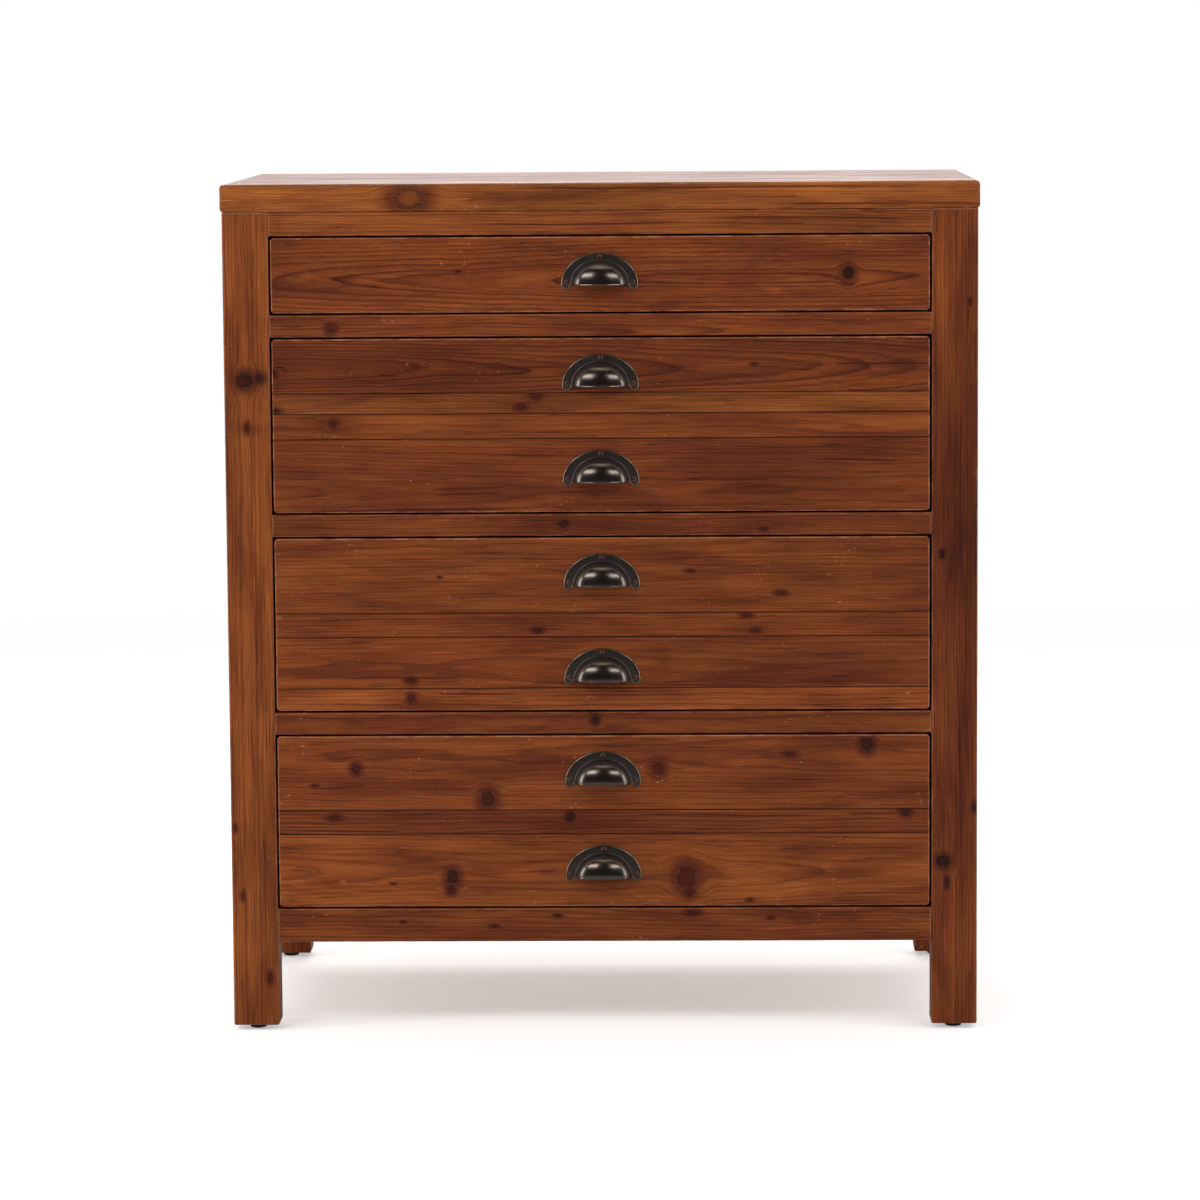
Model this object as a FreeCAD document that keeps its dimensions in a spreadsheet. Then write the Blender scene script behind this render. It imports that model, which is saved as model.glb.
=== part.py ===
"""Seed storage cabinet: a floor-standing pine chest with one shallow and three deep drawers.

The chest is framed from four posts, mortised for front, side and back rails. Boarded side panels
and a plywood back sit in grooves. Each drawer is a dovetailed box that runs on wooden runners,
with cup pulls screwed to its front. X runs to the right, Y to the back and Z up, in millimetres.
The origin is on the floor, in the middle of the whole chest, pulls included.
"""

import FreeCAD, Part

import os
import re

# Driving sizes, in millimetres. Each one is a cell of the spreadsheet, under this alias.
SIZES = {
    # whole chest
    "frame_width": 880,
    "frame_depth": 496,
    "top_thickness": 32,
    "top_overhang": 2,
    "top_round": 3,
    # frame
    "leg_height": 100,
    "post_width": 54,
    "post_depth": 45,
    "post_round": 2,
    "rail_depth": 40,
    "rail_round": 1,
    "top_rail_height": 28,
    "divider_height": 26,
    "bottom_rail_height": 40,
    "shallow_opening": 92,
    "deep_opening": 208,
    "tenon_length": 20,
    "tenon_cheek": 8,
    "tenon_shoulder": 7,
    "mortise_room": 1,
    # sides and back
    "panel_rail_height": 60,
    "panel_rail_thickness": 22,
    "side_rail_inset": 6,
    "back_rail_inset": 4,
    "panel_tenon_length": 18,
    "panel_tenon_thickness": 10,
    "panel_tenon_shoulder": 10,
    "panel_thickness": 10,
    "panel_groove": 8,
    "panel_room": 1,
    "board_tongue": 5,
    "board_tongue_thickness": 4,
    "board_tongue_room": 0.5,
    "board_chamfer": 1.5,
    "back_thickness": 6,
    # runners, kickers, stops and the bottom
    "runner_width": 20,
    "runner_tongue": 8,
    "runner_tongue_height": 10,
    "runner_screw_inset": 10,
    "guide_gap": 8,
    "guide_rise": 30,
    "stop_thickness": 5,
    "stop_length": 40,
    "stop_spread": 400,
    "stop_gap": 0.3,
    "floor_thickness": 6,
    "cleat_height": 8,
    "cleat_width": 18,
    # drawers
    "front_gap": 2,
    "front_thickness": 20,
    "front_round": 2,
    "front_lap": 8,
    "drawer_rear_gap": 20,
    "drawer_side_thickness": 14,
    "drawer_back_thickness": 14,
    "drawer_back_inset": 6,
    "drawer_top_gap": 10,
    "running_gap": 0.3,
    "drawer_bottom_thickness": 6,
    "drawer_groove": 6,
    "drawer_groove_rise": 8,
    "drawer_groove_room": 0.5,
    "tail_flare": 2,
    "drawer_2_board_1": 64,
    "drawer_2_board_2": 24,
    "drawer_2_board_3": 29.5,
    "drawer_3_board_1": 88.5,
    "drawer_3_board_2": 28.5,
    "drawer_3_board_3": 60.5,
    "drawer_4_board_1": 88.5,
    "drawer_4_board_2": 28.5,
    # cup pulls
    "pull_width": 90,
    "pull_rise": 37.5,
    "pull_plate": 2,
    "pull_projection": 24,
    "pull_wall": 2,
    "pull_ear": 5.5,
    "cup_width": 65,
    "cup_rise": 27,
    "pull_drop": 56,
    "pull_spacing": 112,
    "pull_screw_lift": 3,
    "pull_screw_spacing": 77,
    # fasteners and glides
    "screw_head": 6.4,
    "screw_shank": 3,
    "screw_head_depth": 1.8,
    "pull_screw_length": 14,
    "screw_fit": 0.05,
    "screw_slot": 0.9,
    "screw_slot_length": 3.6,
    "screw_slot_depth": 1.1,
    "frame_screw_head": 8,
    "frame_screw_shank": 4.2,
    "frame_screw_head_depth": 3,
    "frame_screw_length": 45,
    "glide_height": 6,
    "glide_diameter": 20,
    "glide_round": 1.5,
    "glide_nail": 3,
    "glide_nail_length": 18,
}

# Counts. A change here adds or drops whole pieces.
TOP_BOARDS = 5
PANEL_BOARDS = 4
SHALLOW_TAILS = 2
DEEP_TAILS = 4
TAIL_SHARE = 0.62  # how much of the dovetail pitch is tail, and not pin
KICKER_SCREWS = 3

# Sizes and places worked out from the driving sizes.
FORMULAS = {
    "half_frame": "frame_width / 2",
    "frame_front": "(pull_projection - frame_depth - top_overhang) / 2",
    "frame_back": "frame_front + frame_depth",
    "half_opening": "half_frame - post_width",
    "frame_under": "glide_height + leg_height",
    "floor_4": "frame_under + bottom_rail_height",
    "ceiling_4": "floor_4 + deep_opening",
    "floor_3": "ceiling_4 + divider_height",
    "ceiling_3": "floor_3 + deep_opening",
    "floor_2": "ceiling_3 + divider_height",
    "ceiling_2": "floor_2 + deep_opening",
    "floor_1": "ceiling_2 + divider_height",
    "ceiling_1": "floor_1 + shallow_opening",
    "top_under": "ceiling_1 + top_rail_height",
    "top_upper": "top_under + top_thickness",
    "rail_back": "frame_front + rail_depth",
    "post_front_back": "frame_front + post_depth",
    "post_rear_front": "frame_back - post_depth",
    "side_rail_outer": "half_frame - side_rail_inset",
    "side_rail_inner": "side_rail_outer - panel_rail_thickness",
    "side_rail_middle": "side_rail_outer - panel_rail_thickness / 2",
    "back_rail_outer": "frame_back - back_rail_inset",
    "back_rail_inner": "back_rail_outer - panel_rail_thickness",
    "back_rail_middle": "back_rail_outer - panel_rail_thickness / 2",
    "panel_top": "top_under - panel_rail_height",
    "panel_bottom": "frame_under + panel_rail_height",
    "panel_lip": "panel_groove - panel_room",
    "board_width": "(post_rear_front - post_front_back + 2 * panel_lip) / panel_boards",
    "bottom_top": "floor_4 - divider_height",
    "front_back": "frame_front + front_thickness",
    "drawer_half": "half_opening - front_gap",
    "drawer_inner": "drawer_half - drawer_side_thickness",
    "drawer_rear": "back_rail_inner - drawer_rear_gap",
    "drawer_back_rear": "drawer_rear - drawer_back_inset",
    "drawer_back_front": "drawer_back_rear - drawer_back_thickness",
    "drawer_lip": "drawer_groove - drawer_groove_room",
    "pull_screw_spread": "pull_screw_spacing / 2",
    "pull_screw_top": "(pull_rise + cup_rise) / 2",
    "runner_middle": "half_opening - runner_width / 2",
    "runner_screw_y": "post_rear_front + runner_screw_inset",
    "guide_outer": "side_rail_inner - guide_gap",
}
COUNTS = {"panel_boards": PANEL_BOARDS}

doc = FreeCAD.newDocument("seed_storage_cabinet")
sheet = doc.addObject("Spreadsheet::Sheet", "Sizes")
for row, (alias, value) in enumerate(SIZES.items(), 1):
    sheet.set(f"A{row}", str(value))
    sheet.setAlias(f"A{row}", alias)
doc.recompute()

nodes = []  # every object that is written as a node of its own


# ---------------------------------------------------------------- helpers


def expression(text):
    """Spells out the named formulas in text and points each size at its cell."""

    def spell(match):
        word = match.group(0)
        if word in FORMULAS:
            return "(" + expression(FORMULAS[word]) + ")"
        if word in COUNTS:
            return str(COUNTS[word])
        return "Sizes." + word if word in SIZES else word

    return re.sub(r"[a-z]\w*", spell, str(text))


def bind(thing, **properties):
    """Ties properties to the spreadsheet. A double underscore in a name stands for a dot."""
    for name, text in properties.items():
        thing.setExpression(name.replace("__", "."), expression(text))


def place(thing, x="0", y="0", z="0"):
    """Ties an object's place to the spreadsheet."""
    bind(thing, Placement__Base__x=x, Placement__Base__y=y, Placement__Base__z=z)


def new_body(name):
    return doc.addObject("PartDesign::Body", name + "_body")


def node(thing, name):
    """Marks an object as the node called name."""
    thing.Label = name
    nodes.append(thing)
    return thing


def box(body, name, low, high, cut=False):
    """A box between two corners, added to a body or cut from it."""
    kind = "PartDesign::SubtractiveBox" if cut else "PartDesign::AdditiveBox"
    feature = body.newObject(kind, name)
    length, width, height = (f"({b}) - ({a})" for a, b in zip(low, high))
    bind(feature, Length=length, Width=width, Height=height)
    place(feature, *low)
    return feature


def hole(body, name, radius, length, start, turn):
    """A round hole cut from a body, from start along the turned Z axis."""
    feature = body.newObject("PartDesign::SubtractiveCylinder", name)
    bind(feature, Radius=radius, Height=length)
    feature.Placement = FreeCAD.Placement(FreeCAD.Vector(), turn)
    place(feature, *start)
    return feature


def soften(body, radius, wanted=lambda edge: True):
    """Rounds the edges of a body's latest feature that wanted picks."""
    doc.recompute()
    base = body.Tip
    names = [f"Edge{n}" for n, edge in enumerate(base.Shape.Edges, 1) if wanted(edge)]
    fillet = body.newObject("PartDesign::Fillet", "rounding")
    fillet.Base = (base, names)
    bind(fillet, Radius=radius)


def across(side, inner, outer):
    """The lowest and highest x of what lies between inner and outer on the right (1) or left (-1)."""
    return (inner, outer) if side > 0 else (f"-({outer})", f"-({inner})")


def group(name, members):
    """Several solids as one object."""
    compound = doc.addObject("Part::Compound", name + "_group")
    compound.Links = members
    return compound


def copy_at(pattern, name, x, y, z, turn=FreeCAD.Rotation()):
    """A copy of a pattern, turned and placed."""
    copy = group(name, [pattern])
    copy.Placement = FreeCAD.Placement(FreeCAD.Vector(), turn)
    place(copy, x, y, z)
    return copy


def slices(whole, name, low, high, levels, axis):
    """A solid sawn into boards at the given levels along an axis, as one group of solids."""
    boards = []
    for number, (start, end) in enumerate(zip(levels, levels[1:]), 1):
        saw = doc.addObject("Part::Box", f"{name}_saw_{number}")
        corner, far = list(low), list(high)
        corner[axis], far[axis] = start, end
        length, width, height = (f"({b}) - ({a})" for a, b in zip(corner, far))
        bind(saw, Length=length, Width=width, Height=height)
        place(saw, *corner)
        board = doc.addObject("Part::Common", f"{name}_board_{number}")
        board.Base, board.Tool = whole, saw
        boards.append(board)
    return group(name, boards)


SIDES = {"left": -1, "right": 1}
FLAT = FreeCAD.Rotation()
TOWARDS_BACK = FreeCAD.Rotation(FreeCAD.Vector(1, 0, 0), -90)  # turns +Z to +Y
OUTWARDS = {1: FreeCAD.Rotation(FreeCAD.Vector(0, 1, 0), 90),
            -1: FreeCAD.Rotation(FreeCAD.Vector(0, 1, 0), -90)}  # turns +Z to +X or -X

# Front rails: node, lower edge, upper edge.
FRONT_RAILS = [
    ("top_rail", "ceiling_1", "top_under"),
    ("divider_rail_1", "ceiling_2", "floor_1"),
    ("divider_rail_2", "ceiling_3", "floor_2"),
    ("divider_rail_3", "ceiling_4", "floor_3"),
    ("bottom_rail", "frame_under", "floor_4"),
]
# Side and back rails: word in the node's name, lower edge, upper edge.
END_RAILS = [
    ("top", "panel_top", "top_under"),
    ("bottom", "frame_under", "panel_bottom"),
]
# Runner tongues: the level of the underside of each runner or kicker.
TONGUE_LEVELS = {
    "top_rail": "ceiling_1",
    "divider_rail_1": "ceiling_2",
    "divider_rail_2": "ceiling_3",
    "divider_rail_3": "ceiling_4",
    "bottom_rail": "bottom_top",
}


# ---------------------------------------------------------------- fasteners and glides


def screw_pattern(name, head, shank, head_depth, length):
    """A countersunk cross-head screw, its head's face at the origin and its point down."""
    body = new_body(name)
    stem = body.newObject("PartDesign::AdditiveCylinder", "shank")
    bind(stem, Radius=f"{shank} / 2", Height=f"{length} - {head_depth} / 2")
    place(stem, z=f"-{length}")
    cone = body.newObject("PartDesign::AdditiveCone", "head")
    bind(cone, Radius1=f"{shank} / 2", Radius2=f"{head} / 2", Height=head_depth)
    place(cone, z=f"-{head_depth}")
    half_slot, half_length = "screw_slot / 2", "screw_slot_length / 2"
    for part, across_x, across_y in (("slot", half_length, half_slot),
                                     ("cross_slot", half_slot, half_length)):
        low = (f"-{across_x}", f"-{across_y}", "-screw_slot_depth")
        box(body, part, low, (across_x, across_y, "0"), cut=True)
    return body


def countersink(name, depth_from):
    """The room for a pull's screw in its plate: a cone for the head and a hole for the shank."""
    cone = doc.addObject("Part::Cone", name + "_cone")
    bind(cone, Radius1="screw_shank / 2 + screw_fit", Height="screw_head_depth")
    bind(cone, Radius2="screw_head / 2 + screw_fit")
    place(cone, z=f"{depth_from} - screw_head_depth")
    stem = doc.addObject("Part::Cylinder", name + "_stem")
    bind(stem, Radius="screw_shank / 2 + screw_fit", Height=f"2 * {depth_from}")
    place(stem, z=f"-{depth_from}")
    both = doc.addObject("Part::MultiFuse", name)
    both.Shapes = [cone, stem]
    return both


pull_screw = screw_pattern("pull_screw", "screw_head", "screw_shank", "screw_head_depth",
                           "pull_screw_length")
frame_screw = screw_pattern("frame_screw", "frame_screw_head", "frame_screw_shank",
                            "frame_screw_head_depth", "frame_screw_length")


def glide_pattern():
    """A nail-on plastic glide: a domed disc with its nail standing up."""
    body = new_body("glide")
    disc = body.newObject("PartDesign::AdditiveCylinder", "disc")
    bind(disc, Radius="glide_diameter / 2", Height="glide_height")
    soften(body, "glide_round", lambda edge: edge.BoundBox.ZMax < 1)
    nail = body.newObject("PartDesign::AdditiveCylinder", "nail")
    bind(nail, Radius="glide_nail / 2", Height="glide_nail_length")
    place(nail, z="glide_height")
    return body


glide = glide_pattern()
glides = []
for ends, glide_y in (("front", "frame_front + post_depth / 2"),
                      ("rear", "frame_back - post_depth / 2")):
    for side_name, side in SIDES.items():
        glide_x = f"{side} * (half_frame - post_width / 2)"
        glides.append(copy_at(glide, f"glide_{ends}_{side_name}", glide_x, glide_y, "0"))
node(group("glides", glides), "foot_glides")


# ---------------------------------------------------------------- frame


def post(name, side, front):
    """A corner post with its mortises, panel grooves, screw holes and glide hole."""
    body = new_body(name)
    near, far = ("frame_front", "post_front_back") if front else ("post_rear_front", "frame_back")
    left, right = across(side, "half_opening", "half_frame")
    box(body, "blank", (left, near, "glide_height"), (right, far, "top_under"))
    soften(body, "post_round")
    if front:
        reach = across(side, "half_opening", "half_opening + tenon_length + mortise_room")
        for rail, low, high in FRONT_RAILS:
            box(body, rail + "_mortise",
                (reach[0], "frame_front + tenon_cheek", f"{low} + tenon_shoulder"),
                (reach[1], "rail_back - tenon_cheek", f"{high} - tenon_shoulder"), cut=True)
    else:
        reach = across(side, "half_opening", "half_opening + panel_tenon_length + mortise_room")
        for rail, low, high in END_RAILS:
            box(body, f"back_{rail}_mortise",
                (reach[0], "back_rail_middle - panel_tenon_thickness / 2",
                 f"{low} + panel_tenon_shoulder"),
                (reach[1], "back_rail_middle + panel_tenon_thickness / 2",
                 f"{high} - panel_tenon_shoulder"), cut=True)
        reach = across(side, "half_opening", "half_opening + panel_groove")
        box(body, "back_groove",
            (reach[0], "back_rail_middle - back_thickness / 2", "panel_bottom - panel_groove"),
            (reach[1], "back_rail_middle + back_thickness / 2", "panel_top + panel_groove"),
            cut=True)
    depth = "panel_tenon_length + mortise_room"
    y_range = (f"{far} - ({depth})", far) if front else (near, f"{near} + {depth}")
    cheeks = across(side, "side_rail_middle - panel_tenon_thickness / 2",
                    "side_rail_middle + panel_tenon_thickness / 2")
    for rail, low, high in END_RAILS:
        box(body, f"side_{rail}_mortise",
            (cheeks[0], y_range[0], f"{low} + panel_tenon_shoulder"),
            (cheeks[1], y_range[1], f"{high} - panel_tenon_shoulder"), cut=True)
    y_range = (f"{far} - panel_groove", far) if front else (near, f"{near} + panel_groove")
    cheeks = across(side, "side_rail_middle - panel_thickness / 2",
                    "side_rail_middle + panel_thickness / 2")
    box(body, "side_groove", (cheeks[0], y_range[0], "panel_bottom - panel_groove"),
        (cheeks[1], y_range[1], "panel_top + panel_groove"), cut=True)
    middle = f"{side} * (half_frame - post_width / 2)"
    hole(body, "glide_hole", "glide_nail / 2 + screw_fit", "glide_nail_length + mortise_room",
         (middle, f"({near} + {far}) / 2", "glide_height"), FLAT)
    if not front:
        for number in range(1, 5):
            hole(body, f"runner_screw_hole_{number}", "frame_screw_shank / 2 + screw_fit",
                 "frame_screw_length - runner_width + mortise_room",
                 (f"{side} * (half_opening)", "runner_screw_y",
                  f"floor_{number} - divider_height / 2"), OUTWARDS[side])
    node(body, name)


def front_rail(name, low, high):
    """A rail between the front posts, tenoned at both ends and mortised behind for the runners."""
    body = new_body(name)
    box(body, "blank", ("-(half_opening)", "frame_front", low), ("half_opening", "rail_back", high))
    soften(body, "rail_round")
    for side in SIDES.values():
        left, right = across(side, "half_opening", "half_opening + tenon_length")
        box(body, "tenon", (left, "frame_front + tenon_cheek", f"{low} + tenon_shoulder"),
            (right, "rail_back - tenon_cheek", f"{high} - tenon_shoulder"))
        level = TONGUE_LEVELS[name]
        left, right = across(side, "half_opening - 3 * runner_width / 4",
                             "half_opening - runner_width / 4")
        bottom = f"{level} + (divider_height - runner_tongue_height) / 2"
        box(body, "runner_mortise", (left, "rail_back - runner_tongue", bottom),
            (right, "rail_back", f"{bottom} + runner_tongue_height"), cut=True)
    node(body, name)


def side_rail(name, side, low, high, groove_at_top):
    """A rail between two posts of one side, tenoned at both ends and grooved for the boards."""
    body = new_body(name)
    left, right = across(side, "side_rail_inner", "side_rail_outer")
    box(body, "blank", (left, "post_front_back", low), (right, "post_rear_front", high))
    soften(body, "rail_round")
    cheeks = across(side, "side_rail_middle - panel_tenon_thickness / 2",
                    "side_rail_middle + panel_tenon_thickness / 2")
    for part, near, far in (
            ("front_tenon", "post_front_back - panel_tenon_length", "post_front_back"),
            ("rear_tenon", "post_rear_front", "post_rear_front + panel_tenon_length")):
        box(body, part, (cheeks[0], near, f"{low} + panel_tenon_shoulder"),
            (cheeks[1], far, f"{high} - panel_tenon_shoulder"))
    cheeks = across(side, "side_rail_middle - panel_thickness / 2",
                    "side_rail_middle + panel_thickness / 2")
    bottom, top = (f"{high} - panel_groove", high) if groove_at_top else (low, f"{low} + panel_groove")
    box(body, "board_groove", (cheeks[0], "post_front_back", bottom),
        (cheeks[1], "post_rear_front", top), cut=True)
    node(body, name)


def back_rail(name, low, high, groove_at_top):
    """A rail between the rear posts, tenoned at both ends and grooved for the back panel."""
    body = new_body(name)
    box(body, "blank", ("-(half_opening)", "back_rail_inner", low),
        ("half_opening", "back_rail_outer", high))
    soften(body, "rail_round")
    for side in SIDES.values():
        left, right = across(side, "half_opening", "half_opening + panel_tenon_length")
        box(body, "tenon",
            (left, "back_rail_middle - panel_tenon_thickness / 2", f"{low} + panel_tenon_shoulder"),
            (right, "back_rail_middle + panel_tenon_thickness / 2", f"{high} - panel_tenon_shoulder"))
    bottom, top = (f"{high} - panel_groove", high) if groove_at_top else (low, f"{low} + panel_groove")
    box(body, "panel_groove", ("-(half_opening)", "back_rail_middle - back_thickness / 2", bottom),
        ("half_opening", "back_rail_middle + back_thickness / 2", top), cut=True)
    node(body, name)


def side_panel(name, side):
    """Upright tongued boards, chamfered where they meet, held in the grooves of rails and posts."""
    boards = []
    skins = across(side, "side_rail_middle - panel_thickness / 2",
                   "side_rail_middle + panel_thickness / 2")
    bottom, top = "panel_bottom - panel_lip", "panel_top + panel_lip"
    for number in range(PANEL_BOARDS):
        start = f"post_front_back - panel_lip + {number} * board_width"
        end = f"{start} + board_width"
        body = new_body(f"{name}_board_{number + 1}")
        box(body, "blank", (skins[0], start, bottom), (skins[1], end, top))
        doc.recompute()
        base = body.Tip
        chamfer = body.newObject("PartDesign::Chamfer", "joint_chamfer")
        chamfer.Base = (base, [f"Edge{n}" for n, edge in enumerate(base.Shape.Edges, 1)
                               if edge.BoundBox.ZLength > edge.BoundBox.DiagonalLength / 2])
        bind(chamfer, Size="board_chamfer")
        for part, edge_y, reach, cut in (
                ("groove", start, "board_tongue + board_tongue_room", True),
                ("tongue", end, "board_tongue", False)):
            first, last = (number == 0, number == PANEL_BOARDS - 1)
            if (cut and first) or (not cut and last):
                continue
            cheeks = across(side, "side_rail_middle - board_tongue_thickness / 2",
                            "side_rail_middle + board_tongue_thickness / 2")
            box(body, part, (cheeks[0], edge_y, bottom), (cheeks[1], f"{edge_y} + {reach}", top),
                cut=cut)
        boards.append(body)
    node(group(name, boards), name)


for side_name, side in SIDES.items():
    post(f"front_{side_name}_post", side, front=True)
    post(f"rear_{side_name}_post", side, front=False)
    for word, low, high in END_RAILS:
        side_rail(f"{side_name}_{word}_side_rail", side, low, high, word == "bottom")
    side_panel(f"{side_name}_side_panel", side)
for rail, low, high in FRONT_RAILS:
    front_rail(rail, low, high)
for word, low, high in END_RAILS:
    back_rail(f"back_{word}_rail", low, high, word == "bottom")

back_panel = new_body("back_panel")
box(back_panel, "sheet",
    ("-(half_opening + panel_lip)", "back_rail_middle - back_thickness / 2",
     "panel_bottom - panel_lip"),
    ("half_opening + panel_lip", "back_rail_middle + back_thickness / 2", "panel_top + panel_lip"))
node(back_panel, "back_panel")


# ---------------------------------------------------------------- top


def kicker_screw_places():
    """Where the screws rise through the kickers into the top: x and y."""
    for side in SIDES.values():
        for number in range(KICKER_SCREWS):
            share = (2 * number + 1) / (2 * KICKER_SCREWS)
            yield (f"{side} * runner_middle",
                   f"rail_back + {share} * (back_rail_inner - rail_back)")


def top():
    """The top: boards glued edge to edge, rounded all round and screwed from below."""
    body = new_body("top")
    corner = ("-(half_frame + top_overhang)", "frame_front - top_overhang", "top_under")
    far = ("half_frame + top_overhang", "frame_back + top_overhang", "top_upper")
    box(body, "slab", corner, far)
    soften(body, "top_round")
    for x, y in kicker_screw_places():
        hole(body, "top_screw_hole", "frame_screw_shank / 2 + screw_fit",
             "frame_screw_length - top_rail_height + mortise_room", (x, y, "top_under"), FLAT)
    levels = [f"{corner[1]} + {share} * (frame_depth + 2 * top_overhang)"
              for share in (number / TOP_BOARDS for number in range(TOP_BOARDS + 1))]
    node(slices(body, "top_boards", corner, far, levels, axis=1), "top_boards")


top()


# ---------------------------------------------------------------- runners, kickers, stops, bottom


def runner(name, side, level):
    """An L-shaped runner: the drawer's side slides on its ledge and is steered by its guide."""
    body = new_body(name)
    under = f"{level} - divider_height"
    left, right = across(side, "half_opening - runner_width", "half_opening")
    box(body, "ledge", (left, "rail_back", under), (right, "back_rail_inner", level))
    left, right = across(side, "half_opening", "guide_outer")
    box(body, "guide", (left, "post_front_back", under),
        (right, "post_rear_front", f"{level} + guide_rise"))
    left, right = across(side, "half_opening - 3 * runner_width / 4",
                         "half_opening - runner_width / 4")
    bottom = f"{under} + (divider_height - runner_tongue_height) / 2"
    box(body, "tongue", (left, "rail_back - runner_tongue", bottom),
        (right, "rail_back", f"{bottom} + runner_tongue_height"))
    face = f"{side} * (half_opening - runner_width)"
    screw_z = f"{level} - divider_height / 2"
    hole(body, "screw_hole", "frame_screw_shank / 2 + screw_fit", "runner_width",
         (face, "runner_screw_y", screw_z), OUTWARDS[side])
    sink = body.newObject("PartDesign::SubtractiveCone", "screw_sink")
    bind(sink, Radius1="frame_screw_head / 2 + screw_fit", Height="frame_screw_head_depth")
    bind(sink, Radius2="frame_screw_shank / 2 + screw_fit")
    sink.Placement = FreeCAD.Placement(FreeCAD.Vector(), OUTWARDS[side])
    place(sink, face, "runner_screw_y", screw_z)
    return body


def kicker(name, side):
    """The rail over the top drawer's side, which keeps it level and holds the top down."""
    body = new_body(name)
    left, right = across(side, "half_opening - runner_width", "half_opening")
    box(body, "blank", (left, "rail_back", "ceiling_1"), (right, "back_rail_inner", "top_under"))
    left, right = across(side, "half_opening - 3 * runner_width / 4",
                         "half_opening - runner_width / 4")
    bottom = "ceiling_1 + (divider_height - runner_tongue_height) / 2"
    box(body, "tongue", (left, "rail_back - runner_tongue", bottom),
        (right, "rail_back", f"{bottom} + runner_tongue_height"))
    for x, y in kicker_screw_places():
        if x.startswith(f"{side} "):
            hole(body, "screw_hole", "frame_screw_shank / 2 + screw_fit", "top_rail_height",
                 (x, y, "ceiling_1"), FLAT)
            sink = body.newObject("PartDesign::SubtractiveCone", "screw_sink")
            bind(sink, Radius1="frame_screw_head / 2 + screw_fit", Height="frame_screw_head_depth")
            bind(sink, Radius2="frame_screw_shank / 2 + screw_fit")
            place(sink, x, y, "ceiling_1")
    return body


def stop(name, side, level):
    """A small block on a rail, which the closed drawer front comes up against."""
    body = new_body(name)
    middle = f"{side} * stop_spread / 2"
    box(body, "block", (f"{middle} - stop_length / 2", "front_back + stop_gap", level),
        (f"{middle} + stop_length / 2", "rail_back", f"{level} + stop_thickness"))
    return body


stops, frame_screws = [], []
for number in range(1, 5):
    level = f"floor_{number}"
    pair = [runner(f"runner_{number}_{side_name}", side, level) for side_name, side in SIDES.items()]
    node(group(f"drawer_{number}_runners", pair), f"drawer_{number}_runners")
    for side_name, side in SIDES.items():
        stops.append(stop(f"stop_{number}_{side_name}", side, level))
        frame_screws.append(copy_at(
            frame_screw, f"runner_screw_{number}_{side_name}",
            f"{side} * (half_opening - runner_width)", "runner_screw_y",
            f"{level} - divider_height / 2", OUTWARDS[-side]))
node(group("drawer_stops", stops), "drawer_stops")
node(group("top_kickers", [kicker(f"kicker_{n}", s) for n, s in SIDES.items()]), "top_kickers")
UPSIDE_DOWN = FreeCAD.Rotation(FreeCAD.Vector(1, 0, 0), 180)
for x, y in kicker_screw_places():
    frame_screws.append(copy_at(frame_screw, "top_screw", x, y, "ceiling_1", UPSIDE_DOWN))
node(group("frame_screws", frame_screws), "frame_screws")

bottom_panel = new_body("bottom_panel")
box(bottom_panel, "between_sides",
    ("-(side_rail_inner)", "post_front_back", "bottom_top - floor_thickness"),
    ("side_rail_inner", "post_rear_front", "bottom_top"))
box(bottom_panel, "between_rails",
    ("-(half_opening)", "rail_back", "bottom_top - floor_thickness"),
    ("half_opening", "back_rail_inner", "bottom_top"))
node(bottom_panel, "bottom_panel")

cleats = []
cleat_top, cleat_under = "bottom_top - floor_thickness", "bottom_top - floor_thickness - cleat_height"
for part, near, far in (("front", "rail_back", "rail_back + cleat_width"),
                        ("back", "back_rail_inner - cleat_width", "back_rail_inner")):
    cleats.append(new_body(f"{part}_cleat"))
    box(cleats[-1], "strip", ("-(half_opening)", near, cleat_under), ("half_opening", far, cleat_top))
for side_name, side in SIDES.items():
    left, right = across(side, "side_rail_inner - cleat_width", "side_rail_inner")
    cleats.append(new_body(f"{side_name}_cleat"))
    box(cleats[-1], "strip", (left, "post_front_back", cleat_under),
        (right, "post_rear_front", cleat_top))
node(group("bottom_cleats", cleats), "bottom_cleats")


# ---------------------------------------------------------------- cup pulls


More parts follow.
